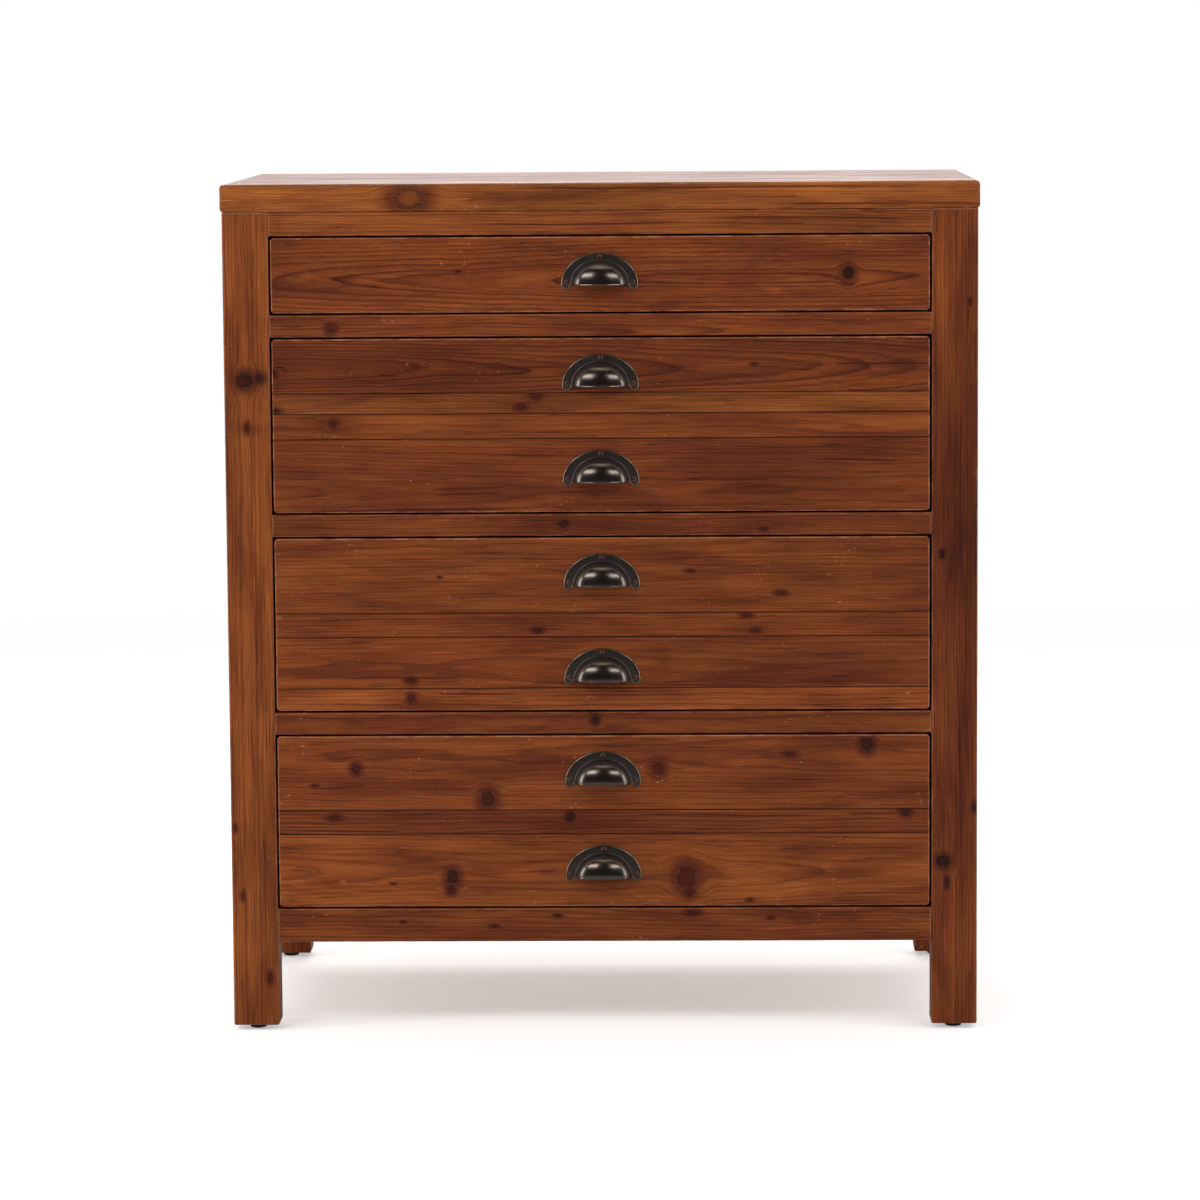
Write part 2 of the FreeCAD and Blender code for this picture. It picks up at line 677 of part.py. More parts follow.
def pull_pattern():
    """A cup pull: a half-oval plate with two ears and a hollow quarter dome, open below.

    Its face is toward -Y, its back is on the plane y = 0 and the cup's mouth is on z = 0.
    """
    oval = doc.addObject("Part::Ellipse", "plate_outline")
    bind(oval, MajorRadius="pull_width / 2", MinorRadius="pull_rise")
    plate = doc.addObject("Part::Extrusion", "plate_oval")
    plate.Base, plate.DirMode, plate.Dir, plate.Solid = oval, "Custom", (0, 0, 1), True
    bind(plate, LengthFwd="pull_plate")
    upper = doc.addObject("Part::Box", "plate_upper_half")
    bind(upper, Length="pull_width", Width="pull_rise", Height="pull_plate")
    place(upper, "-pull_width / 2")
    half_plate = doc.addObject("Part::Common", "half_plate")
    half_plate.Base, half_plate.Tool = plate, upper
    ears = []
    for side_name, side in SIDES.items():
        ear = doc.addObject("Part::Cylinder", f"{side_name}_ear")
        bind(ear, Radius="pull_ear", Height="pull_plate")
        place(ear, f"{side} * (pull_width / 2 - pull_ear)")
        ears.append(ear)
    domes = {}
    for part, less in (("dome", "0"), ("dome_hollow", "pull_wall")):
        dome = doc.addObject("Part::Ellipsoid", part)
        dome.Angle1, dome.Angle2 = -90, 90
        bind(dome, Radius1=f"pull_projection - {less}", Radius2=f"cup_width / 2 - {less}")
        bind(dome, Radius3=f"cup_rise - {less}")
        domes[part] = dome
    quarter = doc.addObject("Part::Box", "dome_quarter")
    bind(quarter, Length="cup_width", Width="cup_rise", Height="pull_projection")
    place(quarter, "-cup_width / 2")
    cup = doc.addObject("Part::Common", "cup")
    cup.Base, cup.Tool = domes["dome"], quarter
    outside = doc.addObject("Part::MultiFuse", "pull_outside")
    outside.Shapes = [half_plate, cup, *ears]
    sinks = []
    for part, x, lift in (("left_sink", "-pull_screw_spread", "pull_screw_lift"),
                          ("right_sink", "pull_screw_spread", "pull_screw_lift"),
                          ("top_sink", "0", "pull_screw_top")):
        sinks.append(copy_at(countersink(part, "pull_plate"), part + "_room", x, lift, "0"))
    removed = doc.addObject("Part::MultiFuse", "pull_hollows")
    removed.Shapes = [domes["dome_hollow"], *sinks]
    pull = doc.addObject("Part::Cut", "pull_pattern")
    pull.Base, pull.Tool = outside, removed
    return pull


pull = pull_pattern()
PULL_UPRIGHT = FreeCAD.Rotation(FreeCAD.Vector(1, 0, 0), 90)  # turns +Z to -Y and +Y to +Z
PULL_SCREWS = (("-pull_screw_spread", "pull_screw_lift"), ("pull_screw_spread", "pull_screw_lift"),
               ("0", "pull_screw_top"))


# ---------------------------------------------------------------- drawers


def tails(body, side, side_bottom, side_top, count, cut):
    """Dovetails at a side's front end: added to the side, or cut from the front as sockets."""
    kind = "PartDesign::SubtractiveWedge" if cut else "PartDesign::AdditiveWedge"
    left, right = across(side, "drawer_inner", "drawer_half")
    pitch = f"(({side_top}) - ({side_bottom})) / {count}"
    for number in range(count):
        middle = f"{side_bottom} + {number + 0.5} * {pitch}"
        half = f"{TAIL_SHARE / 2} * {pitch}"
        tail = body.newObject(kind, "tail_socket" if cut else "tail")
        bind(tail, Xmin=left, Xmax=right, X2min=left, X2max=right)
        bind(tail, Ymin="frame_front + front_lap", Ymax="front_back")
        bind(tail, Zmin=f"{middle} - {half}", Zmax=f"{middle} + {half}")
        bind(tail, Z2min=f"{middle} - {half} + tail_flare", Z2max=f"{middle} + {half} - tail_flare")


def drawer(number, opening, board_sizes, tail_count, pull_rows):
    """One drawer: front boards, two sides, back and bottom, with its pulls and their screws."""
    name = f"drawer_{number}"
    floor, ceiling = f"floor_{number}", f"ceiling_{number}"
    front_low, front_high = f"{floor} + front_gap", f"{ceiling} - front_gap"
    side_bottom, side_top = f"{floor} + running_gap", f"{ceiling} - drawer_top_gap"
    groove_low = f"{side_bottom} + drawer_groove_rise"
    groove_high = f"{groove_low} + drawer_bottom_thickness"
    pull_levels = [f"{front_high} - pull_drop - {row} * pull_spacing" for row in range(pull_rows)]

    front = new_body(name + "_front")
    corner, far = ("-(drawer_half)", "frame_front", front_low), ("drawer_half", "front_back", front_high)
    box(front, "blank", corner, far)
    doc.recompute()
    face = front.Tip.Shape.BoundBox.YMin
    soften(front, "front_round", lambda edge: edge.BoundBox.YMin - face < 1)
    for side in SIDES.values():
        tails(front, side, side_bottom, side_top, tail_count, cut=True)
    box(front, "bottom_groove", ("-(drawer_inner)", "front_back - drawer_groove", groove_low),
        ("drawer_inner", "front_back", groove_high), cut=True)
    for level in pull_levels:
        for x, lift in PULL_SCREWS:
            hole(front, "pull_screw_hole", "screw_shank / 2 + screw_fit",
                 "pull_screw_length - pull_plate + mortise_room / 2",
                 (x, "frame_front", f"{level} + {lift}"), TOWARDS_BACK)
    joints = [front_high]
    for size in board_sizes:
        joints.insert(0, f"{joints[0]} - {size}")
    levels = [front_low, *joints]
    node(slices(front, name + "_front", corner, far, levels, axis=2), name + "_front")

    for side_name, side in SIDES.items():
        board = new_body(f"{name}_{side_name}_side")
        left, right = across(side, "drawer_inner", "drawer_half")
        box(board, "blank", (left, "front_back", side_bottom), (right, "drawer_rear", side_top))
        tails(board, side, side_bottom, side_top, tail_count, cut=False)
        left, right = across(side, "drawer_inner", "drawer_inner + drawer_groove")
        box(board, "bottom_groove", (left, "front_back", groove_low),
            (right, "drawer_rear", groove_high), cut=True)
        box(board, "back_housing", (left, "drawer_back_front", groove_high),
            (right, "drawer_back_rear", side_top), cut=True)
        node(board, f"{name}_{side_name}_side")

    back = new_body(name + "_back")
    box(back, "blank", ("-(drawer_inner + drawer_groove)", "drawer_back_front", groove_high),
        ("drawer_inner + drawer_groove", "drawer_back_rear", side_top))
    node(back, name + "_back")

    bottom = new_body(name + "_bottom")
    box(bottom, "between_sides", ("-(drawer_inner + drawer_lip)", "front_back", groove_low),
        ("drawer_inner + drawer_lip", "drawer_back_rear", groove_high))
    box(bottom, "front_lip", ("-(drawer_inner)", "front_back - drawer_lip", groove_low),
        ("drawer_inner", "front_back", groove_high))
    node(bottom, name + "_bottom")

    screws = []
    for row, level in enumerate(pull_levels):
        pull_name = f"{name}_pull" if pull_rows == 1 else f"{name}_{('upper', 'lower')[row]}_pull"
        node(copy_at(pull, pull_name, "0", "frame_front", level, PULL_UPRIGHT), pull_name)
        for x, lift in PULL_SCREWS:
            screws.append(copy_at(pull_screw, name + "_screw", x, "frame_front - pull_plate",
                                  f"{level} + {lift}", PULL_UPRIGHT))
    node(group(name + "_pull_screws", screws), name + "_pull_screws")


drawer(1, "shallow_opening", [], SHALLOW_TAILS, pull_rows=1)
drawer(2, "deep_opening", ["drawer_2_board_1", "drawer_2_board_2", "drawer_2_board_3"], DEEP_TAILS, 2)
drawer(3, "deep_opening", ["drawer_3_board_1", "drawer_3_board_2", "drawer_3_board_3"], DEEP_TAILS, 2)
drawer(4, "deep_opening", ["drawer_4_board_1", "drawer_4_board_2"], DEEP_TAILS, 2)


# ---------------------------------------------------------------- checks and export

doc.recompute()
failed = [thing.Name for thing in doc.Objects
          if any(word in thing.State for word in ("Invalid", "Error"))]
if failed:
    raise SystemExit(f"these objects failed: {failed}")
for thing in nodes:
    if thing.Shape.isNull() or not thing.Shape.isValid() or not thing.Shape.Solids:
        raise SystemExit(f"{thing.Label} has no valid solid")
os.makedirs("parts", exist_ok=True)
for thing in nodes:
    thing.Shape.exportStep(f"parts/{thing.Label}.step")
print(f"wrote {len(nodes)} nodes, {sum(len(thing.Shape.Solids) for thing in nodes)} solids")
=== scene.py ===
"""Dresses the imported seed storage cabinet: worn boards, aged pulls, a floor and its lamps."""

import itertools
import math
import random
from functools import partial

import bmesh
import bpy
from mathutils import Matrix, Vector, noise


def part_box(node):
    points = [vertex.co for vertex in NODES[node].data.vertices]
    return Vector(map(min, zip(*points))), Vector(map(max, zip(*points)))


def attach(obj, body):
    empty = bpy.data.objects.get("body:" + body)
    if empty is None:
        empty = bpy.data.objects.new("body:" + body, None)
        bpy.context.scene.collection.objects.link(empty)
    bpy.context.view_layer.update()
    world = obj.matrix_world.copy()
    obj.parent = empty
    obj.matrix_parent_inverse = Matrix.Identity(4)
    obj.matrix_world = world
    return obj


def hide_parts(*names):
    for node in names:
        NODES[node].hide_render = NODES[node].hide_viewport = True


bl_info = {
    "name": "Seed Storage Cabinet",
    "version": (1, 0, 0),
    "blender": (4, 5, 0),
    "location": "View3D > Sidebar > Seed Cabinet",
    "description": "Dresses the chest's frame in worn, waxed pine with aged cup pulls",
    "category": "Object",
}

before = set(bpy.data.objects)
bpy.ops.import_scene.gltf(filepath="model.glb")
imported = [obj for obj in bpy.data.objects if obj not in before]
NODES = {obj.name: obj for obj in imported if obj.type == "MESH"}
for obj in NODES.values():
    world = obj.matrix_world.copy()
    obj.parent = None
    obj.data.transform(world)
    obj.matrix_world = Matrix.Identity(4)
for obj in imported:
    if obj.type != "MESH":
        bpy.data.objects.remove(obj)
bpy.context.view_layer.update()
MM = 0.001  # metres in a millimetre
X, Y, Z = 0, 1, 2
LEFT, RIGHT, FRONT, BACK, UNDER, TOP = (X, -1), (X, 1), (Y, -1), (Y, 1), (Z, -1), (Z, 1)
FAR = 1e5  # where a knot or streak is put on a board that has none
SHARP = 1.0  # radians between two faces that meet in an edge of the wood or the metal
PULLS = [name for name in NODES if name.endswith("_pull")]
DRAWERS = (1, 2, 3, 4)
TOP_BOARDS, SIDE_BOARDS = 5, 4  # glued edge to edge in the top, and in each side


def colour(code):
    """A colour written as sRGB hex, turned to linear red, green, blue and alpha."""
    parts = [int(code[i:i + 2], 16) / 255 for i in (1, 3, 5)]
    return *(c / 12.92 if c <= 0.04045 else ((c + 0.055) / 1.055) ** 2.4 for c in parts), 1.0


def box(node):
    """A CAD node's lowest and highest corners, in millimetres."""
    return [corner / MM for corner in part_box(node)]


# ---------------------------------------------------------------- settings


def shade(code, name, description):
    """A colour that a user would change."""
    return bpy.props.FloatVectorProperty(
        name=name, description=description, subtype="COLOR", size=4, min=0, max=1,
        default=colour(code))


def length(millimetres, name, description):
    """A size that a user would change."""
    return bpy.props.FloatProperty(
        name=name, description=description, subtype="DISTANCE", unit="LENGTH", min=0,
        default=millimetres * MM)


def strength(value, name, description):
    """A lamp's power in watts."""
    return bpy.props.FloatProperty(
        name=name, description=description, subtype="POWER", unit="POWER", min=0, default=value)


class PineSettings(bpy.types.PropertyGroup):
    """How the boards are coloured and how worn they are."""

    early: shade("#7c3b19", "Pale wood", "Stained wood between the growth rings")
    late: shade("#48190c", "Dark rings", "Dense wood of the growth rings")
    amber: shade("#9a5b26", "Amber wood", "Wood of the boards that took less stain")
    ruddy: shade("#4c1809", "Ruddy wood", "Resinous wood round knots and along streaks")
    knot: shade("#260f08", "Knot", "Heart and bark of the knots")
    rubbed: shade("#b87d5a", "Rubbed edge", "Bare wood where hands have worn the edges")
    raw: shade("#cfa576", "Raw pine", "Unstained pine inside the chest")
    raw_late: shade("#a36b3c", "Raw pine rings", "Growth rings of the unstained pine")
    edge_round: length(2.4, "Edge round", "Radius of the boards' worn edges")
    corner_round: length(4.5, "Corner round", "Radius of the drawer fronts' worn corners")
    joint_round: length(0.8, "Joint round", "Rounding of the edges along glue joints")
    dent: length(0.4, "Dents", "How far the worn edges wander inwards")
    board_step: length(12, "Board step", "Distance between the cuts across a board's mesh")


class MetalSettings(bpy.types.PropertyGroup):
    """How the pulls, screws and glides look."""

    bronze: shade("#5d5550", "Bronze", "Dark patina of the pulls")
    patina: shade("#251d19", "Patina", "Blackened bronze of the pulls' plates")
    # Paler metal on the rims and the crown: partly bronze that hands have polished, partly a
    # painted highlight.
    rubbed_glint: shade("#8a745c", "Rubbed bronze and glint", "Metal that shows on the rubbed rims")
    screw: shade("#6b4a3f", "Pull screws", "Reddish patina of the pulls' screws")
    zinc: shade("#c4c1b2", "Zinc", "Plated screws inside the chest")
    plastic: shade("#1b1a1a", "Glides", "Black plastic under the legs")


class StageSettings(bpy.types.PropertyGroup):
    """The floor, the lamps and the camera."""

    floor: shade("#f2f2f2", "Floor", "Painted studio floor")
    flag: shade("#5c5450", "Flag", "Black cloth that the front of the chest mirrors")
    key: strength(38, "Key lamp", "Power of the large lamp above the front")
    back: strength(56, "Back lamp", "Power of the lamp behind the chest, which skims its top")
    strip: strength(18, "Strip lamps", "Power of each of the narrow lamps at the sides")
    ambient: bpy.props.FloatProperty(
        name="Ambient", description="Strength of the room's even light", default=0.42, min=0)
    lift: bpy.props.FloatProperty(
        name="Floor lift", description="How much brighter the camera sees the floor",
        default=0.42, min=0)
    lens: bpy.props.FloatProperty(
        name="Lens", description="Focal length of the camera", default=141.89, min=1,
        subtype="DISTANCE_CAMERA")


# ---------------------------------------------------------------- shader nodes


MAIN_SETTING = {"Math": "operation", "VectorMath": "operation", "MapRange": "interpolation_type",
                "Mix": "data_type", "Attribute": "attribute_name", "TexNoise": "noise_dimensions",
                "TexWhiteNoise": "noise_dimensions"}


def add_node(tree, kind, *values, stops=(), clamp=False, **named):
    """Adds a node of this kind, whose second word is its main setting, and returns it.

    Values fill its inputs in order, and named ones the input of that name. Each is a number, a
    colour, a vector, a socket, or a node whose first output is meant. Stops are grey levels.
    """
    kind, _, setting = kind.partition(" ")
    made = tree.nodes.new("ShaderNode" + kind)
    if setting:
        setattr(made, MAIN_SETTING[kind], setting)
    if clamp:
        made.use_clamp = True
    given = list(zip((socket for socket in made.inputs if socket.enabled), values))
    given += [(made.inputs[name.replace("_", " ")], value) for name, value in named.items()]
    for socket, value in given:
        if isinstance(value, bpy.types.Node):
            value = next(output for output in value.outputs if output.enabled)
        if isinstance(value, bpy.types.NodeSocket):
            tree.links.new(value, socket)
        else:
            socket.default_value = value
    for index, (place, grey) in enumerate(stops):
        ramp = made.color_ramp.elements
        stop = ramp[index] if index < 2 else ramp.new(place)
        stop.position, stop.color = place, (grey, grey, grey, 1)
    return made


def new_material(name):
    """An empty material, and the function that adds a node to it."""
    made = bpy.data.materials.new(name)
    made.use_nodes = True
    made.node_tree.nodes.clear()
    return made, partial(add_node, made.node_tree)


def waxed_pine(look):
    """Reclaimed pine, sawn, stained red-brown and waxed.

    Stain sinks into the soft wood between the rings, so the figure is low in contrast, and the wax
    leaves a dull sheen. Every length is in millimetres, read from each board's own attributes: cut
    is the distance across and behind the heart of the log, and the way along it.
    """
    made, add = new_material("Waxed pine")
    cut = add("Attribute cut").outputs["Vector"]
    (tone, amber, wear), (rings, figure, _), (dark, redder, dead), (line, centre, half) = (
        add("SeparateXYZ", add("Attribute " + name).outputs["Vector"]).outputs
        for name in ("tint", "growth", "stain", "streak"))

    # The trunk bends over a hand's breadth, and its rings wander over a finger's.
    bend = add("TexNoise", add("VectorMath MULTIPLY", cut, (1 / 48, 1 / 48, 1 / 260)), 1, 2)
    bent = add("VectorMath MULTIPLY_ADD",
               add("VectorMath SUBTRACT", bend.outputs["Color"], (0.5, 0.5, 0.5)), (11, 11, 0), cut)
    waver = add("VectorMath SUBTRACT",
                add("TexNoise", add("VectorMath MULTIPLY", cut, (1 / 7, 1 / 7, 1 / 45)), 1, 3)
                .outputs["Color"], (0.5, 0.5, 0.5))
    wavy = add("VectorMath MULTIPLY_ADD", waver, (1.8, 1.8, 1.8), bent)
    side, depth, along = add("SeparateXYZ", wavy).outputs
    rough_side, _, rough_along = add(
        "SeparateXYZ", add("VectorMath MULTIPLY_ADD", waver, (4, 4, 4), cut)).outputs

    # Rings part round a knot: near it, each is pushed aside by what lies between it and the heart.
    # A pin knot is drawn out along the board. A burl, with a radius below nothing, is pale inside.
    across, near, pale = side, None, None
    for name in ("knot_near", "knot_next"):
        knot = add("SeparateXYZ", add("Attribute " + name).outputs["Vector"]).outputs
        aside = add("Math SUBTRACT", rough_side, knot[X])
        burl = add("Math LESS_THAN", knot[Z], 0.0)
        drawn_out = add(
            "MapRange", knot[Z], 3.3, 6, add("Math MULTIPLY_ADD", burl, 0.3, 0.45), 1.15)
        beyond = add("Math MULTIPLY", add("Math SUBTRACT", rough_along, knot[Y]), drawn_out)
        gap = add("Math DIVIDE", add("VectorMath LENGTH", add("CombineXYZ", aside, beyond)),
                  add("Math ABSOLUTE", knot[Z]))
        pale = add("Math MAXIMUM", burl, pale) if near else burl
        pull = add("MapRange SMOOTHSTEP", gap, 0.5, 3.2, 1, 0)
        across = add("Math SUBTRACT", across, add("Math MULTIPLY", aside, pull))
        near = add("Math MINIMUM", near, gap) if near else gap

    # Growth rings: pale wood darkens slowly over a summer and stops at once.
    radius = add("VectorMath LENGTH", add("CombineXYZ", across, depth))
    year = add("Math MULTIPLY_ADD", add("TexNoise 1D", radius, 1 / 16, 1), 2.2,
               add("Math MULTIPLY", radius, rings))
    season = add("ValToRGB", add("Math FRACT", year),
                 stops=((0, 0.25), (0.14, 0), (0.5, 0.12), (0.84, 0.75), (0.93, 1), (1, 0.25)))
    vigour = add("MapRange", add("TexWhiteNoise 1D", add("Math FLOOR", year)), 0, 1, 0.25, 1.0)
    late = add("Math MULTIPLY", add("Math MULTIPLY", season, vigour), figure)

    # Fibres half a millimetre wide, drawn at two so that they show, and blotches of stain.
    fibre = add("TexNoise", add("VectorMath MULTIPLY", wavy, (0.6, 0.6, 1 / 75)), 1, 4, 0.8)
    blotch = add("TexNoise", add("VectorMath MULTIPLY", wavy, (1 / 22, 1 / 22, 1 / 150)), 1, 3, 0.5)
    resin = add("MapRange SMOOTHSTEP", add("TexNoise", add(
        "VectorMath MULTIPLY", add("CombineXYZ", across, depth, along), (1 / 4.5, 1 / 9, 1 / 150)),
        1, 1), 0.62, 0.76)

    # Hair-fine dark checks, and pale silvery lines along the fibres that are a painted glint.
    fine = [
        add("MapRange SMOOTHSTEP", add("TexNoise", add("VectorMath MULTIPLY", wavy, scale), 1, 1),
            low, high, 0, change)
        for scale, low, high, change in (((0.75, 0.75, 1 / 55), 0.6, 0.76, -0.55),
                                         ((0.7, 0.7, 1 / 75), 0.58, 0.76, 0.5))]

    # Drawn streaks of dark resin.
    beside = add("Math ABSOLUTE", add("Math SUBTRACT", side, line))
    reach = add("Math DIVIDE", add("Math ABSOLUTE", add("Math SUBTRACT", along, centre)), half)
    drawn = add("Math MULTIPLY", add("MapRange SMOOTHSTEP", beside, 0.4, 2.2, 1, 0),
                add("MapRange SMOOTHSTEP", reach, 0.6, 1, 1, 0))

    # Colours, from the wood outwards.
    wood = add("Mix RGBA", add("Math MULTIPLY_ADD", add("Math SUBTRACT", blotch, 0.5), 1.0, amber),
               look.early, look.amber)
    wood = add("Mix RGBA", add("Math MULTIPLY", late, 0.9), wood, look.late)
    red = add("MapRange SMOOTHSTEP", near, 0.9, 2.5, 0.85, 0)
    for other in (add("Math ADD", redder, add("MapRange", blotch, 0.3, 0.5, 0.3, 0)),
                  add("Math MULTIPLY", resin, 0.42), add("Math MULTIPLY", drawn, 0.85)):
        red = add("Math MAXIMUM", red, other)
    wood = add("Mix RGBA", red, wood, look.ruddy)
    crazed = add("TexNoise", add("VectorMath MULTIPLY", cut, (1 / 3.2, 1 / 3.2, 1 / 3.2)),
                 1, 3, 0.6, Distortion=1.2)
    rind = add("Math MULTIPLY_ADD", add("Math SUBTRACT", crazed, 0.5), 1.3, near)
    core = add("MapRange SMOOTHSTEP", rind, 0.8, 1.15, 0.95, 0)
    bark = add("Math MULTIPLY", add("ValToRGB", rind, stops=((0, 0.1), (0.5, 0.15), (0.8, 0.85))),
               add("MapRange", dead, -1, 0, 0.25, 1))
    rot = add("Math ADD", dead, add(
        "MapRange", crazed, 0.42, 0.56, add("Math MULTIPLY_ADD", pale, -0.92, 1.0), 0), clamp=True)
    heart = add("Mix RGBA", add("Math MAXIMUM", bark, rot), add(
        "Mix RGBA", add("Math MULTIPLY", pale, 0.4), look.ruddy, look.amber), look.knot)
    wood = add("Mix RGBA", core, wood, heart)
    crack = add("ValToRGB", rind, stops=((0.93, 0), (0.985, 0.3), (1, 0)))
    wood = add("Mix RGBA", crack, wood, look.rubbed)

    # Pale pits a few millimetres wide, in clusters, where the wood was bruised before it was waxed.
    pit = add("MapRange SMOOTHSTEP", add("TexNoise", add(
        "VectorMath MULTIPLY", cut, (1 / 3.2, 1 / 3.2, 1 / 4.5)), 1, 2), 0.64, 0.72, 0, 0.6)
    bruised = add("MapRange SMOOTHSTEP", add("TexNoise", add(
        "VectorMath MULTIPLY", cut, (1 / 26, 1 / 26, 1 / 40)), 1, 0), 0.66, 0.76)
    wood = add("Mix RGBA", add("Math MULTIPLY", pit, bruised), wood, look.rubbed)

    # Light and dark: fibres, blotches, the board's own tone, stains, end grain, and painted shade
    # along the glue joints.
    value = add("Math MULTIPLY_ADD", add("Math SUBTRACT", fibre, 0.5), 1.0, 1.0)
    value = add("Math MULTIPLY_ADD", add("Math SUBTRACT", blotch, 0.5), 0.8, value)
    # The dark checks darken the wood, and the painted glint along the fibres lightens it.
    for lines in fine:
        value = add("Math ADD", value, lines)
    for share in (tone, add("Math SUBTRACT", 1.0, dark),
                  add("MapRange", add("Attribute end_grain").outputs["Fac"], 0, 1, 1, 0.62),
                  add("MapRange", add("Attribute seam").outputs["Fac"], 0.2, 1, 1, 0.15)):
        value = add("Math MULTIPLY", value, share)
    wood = add("VectorMath SCALE", wood, value)

    # Worn edges: on a block the nearest edge is as far as the second nearest side.
    place = add("VectorMath SUBTRACT", add(
        "VectorMath SCALE", add("TexCoord").outputs["Object"], 1 / MM),
        add("Attribute centre").outputs["Vector"])
    inside = add("SeparateXYZ", add(
        "VectorMath SUBTRACT", add("Attribute half").outputs["Vector"],
        add("VectorMath ABSOLUTE", place))).outputs
    edge = add("Math MAXIMUM", add("Math MINIMUM", inside[X], inside[Y]),
               add("Math MINIMUM", add("Math MAXIMUM", inside[X], inside[Y]), inside[Z]))
    chafe = add("TexNoise", add("VectorMath MULTIPLY", cut, (1 / 5, 1 / 5, 1 / 16)), 1, 4, 0.65)
    bare = add("MapRange SMOOTHSTEP", add(
        "Math MULTIPLY_ADD", add("Math SUBTRACT", chafe, 0.5), 3.0, edge), 0.3, 1.9, wear, 0)
    wood = add("Mix RGBA", bare, wood, look.rubbed)

    # The soft wood has worn a little lower than the rings, and knots stand proud.
    relief = add("Math SUBTRACT", add("Math MULTIPLY_ADD", fibre, 0.6, late),
                 add("Math MULTIPLY", core, 1.2))
    add("OutputMaterial", add(
        "BsdfPrincipled", wood, Roughness=add("MapRange", blotch, 0.35, 0.65, 0.58, 0.4),
        Specular_IOR_Level=0.14,
        Normal=add("Bump", Strength=0.35, Distance=0.25 * MM, Height=relief)))
    return made


def raw_pine(look, grain):
    """Planed pine, bare inside the chest: pale and matt, with rings 5 mm apart and a few knots."""
    made, add = new_material("Raw pine " + "XYZ"[grain])
    place = add("VectorMath SCALE", add("TexCoord").outputs["Object"], 1 / MM)

    def stretched(scale, along):
        return [along if axis == grain else scale for axis in (X, Y, Z)]

    wander = add("TexNoise", add("VectorMath MULTIPLY", place, stretched(1 / 40, 1 / 800)), 1, 3)
    wavy = add("VectorMath MULTIPLY_ADD", add(
        "VectorMath SUBTRACT", wander.outputs["Color"], (0.5, 0.5, 0.5)), (26, 26, 26), place)
    flat = [0 if axis == grain else rings for axis, rings in zip((X, Y, Z), (0.19, 0.16, 0.13))]
    season = add("ValToRGB", add("Math FRACT", add("VectorMath DOT_PRODUCT", wavy, flat)),
                 stops=((0, 0.25), (0.15, 0), (0.6, 0.3), (0.85, 0.8), (0.93, 1), (1, 0.25)))
    fibre = add("TexNoise", add("VectorMath MULTIPLY", wavy, stretched(0.55, 0.0275)), 1, 4, 0.75)
    knot = add("TexVoronoi", add("VectorMath MULTIPLY", place, stretched(1 / 150, 1 / 210)), 1,
               Randomness=0.9)
    wood = add("Mix RGBA", add("Math MULTIPLY", season, 0.75), look.raw, look.raw_late)
    wood = add("Mix RGBA", add("MapRange SMOOTHSTEP", knot, 0.02, 0.07, 0.85, 0), wood,
               colour("#6b4024"))
    wood = add("VectorMath SCALE", wood, add("MapRange", fibre, 0.25, 0.75, 0.78, 1.12))
    add("OutputMaterial", add(
        "BsdfPrincipled", wood, Roughness=0.7, Specular_IOR_Level=0.3,
        Normal=add("Bump", Strength=0.3, Distance=0.15 * MM, Height=fibre)))
    return made


def plywood(look, thin):
    """Birch-faced plywood, sanded: broad rotary-cut figure, and plies 1.2 mm thick on its edges."""
    made, add = new_material("Plywood " + "XYZ"[thin])
    spot = add("TexCoord").outputs
    place = add("VectorMath SCALE", spot["Object"], 1 / MM)
    figure = add("TexNoise", add("VectorMath MULTIPLY", place, (1 / 420, 1 / 34, 1 / 34)), 1, 3,
                 Distortion=0.3)
    rings = add("ValToRGB", add("Math FRACT", add("Math MULTIPLY", figure, 9)),
                stops=((0, 0), (0.7, 0.35), (0.9, 1), (1, 0)))
    fibre = add("TexNoise", add("VectorMath MULTIPLY", place, (1 / 30, 0.6, 0.6)), 1, 4, 0.75)
    tone = add("Math MULTIPLY_ADD", rings, 0.5, add("Math MULTIPLY", fibre, 0.8))
    wood = add("Mix RGBA", tone, look.raw, look.raw_late)
    facing = add("Math ABSOLUTE", add("SeparateXYZ", spot["Normal"]).outputs[thin])
    height = add("Math MULTIPLY", add("SeparateXYZ", place).outputs[thin], 1 / 2.4)
    ply = add("Math MULTIPLY", add("Math LESS_THAN", facing, 0.5),
              add("Math GREATER_THAN", add("Math FRACT", height), 0.5))
    wood = add("Mix RGBA", ply, wood, colour("#7a5230"))
    add("OutputMaterial", add(
        "BsdfPrincipled", wood, Roughness=0.62, Specular_IOR_Level=0.35,
        Normal=add("Bump", Strength=0.25, Distance=0.1 * MM, Height=fibre)))
    return made


def aged_bronze(look):
    """Cast bronze, blackened, then polished by hands: near black, with a warm glint on its rims and
    crown that is partly polished metal and partly a painted highlight.
    """
    made, add = new_material("Aged bronze")
    place = add("VectorMath SCALE", add("TexCoord").outputs["Object"], 1 / MM)
    cloud = add("TexNoise", place, 1 / 9, 4, 0.6)
    grit = add("TexNoise", place, 1 / 1.2, 2)
    worn = add("Attribute polish").outputs["Fac"]
    bare = add("MapRange", add("Math MULTIPLY_ADD", add("Math SUBTRACT", cloud, 0.5), 0.7, worn),
               0.05, 0.5)
    metal = add("Mix RGBA", bare, look.patina, look.bronze)
    # Paler metal on the rims and the crown: partly rubbed bronze, partly a painted highlight and
    # glint.
    metal = add("Mix RGBA", add("MapRange", worn, 0.75, 1.0, 0, 0.9), metal, look.rubbed_glint)
    add("OutputMaterial", add(
        "BsdfPrincipled", metal, add("MapRange", bare, 0, 1, 0.3),
        add("MapRange", add("Math MULTIPLY_ADD", grit, 0.25, worn), 0, 0.8, 0.4, 0.21),
        Normal=add("Bump", Strength=0.25, Distance=0.12 * MM, Height=grit)))
    return made


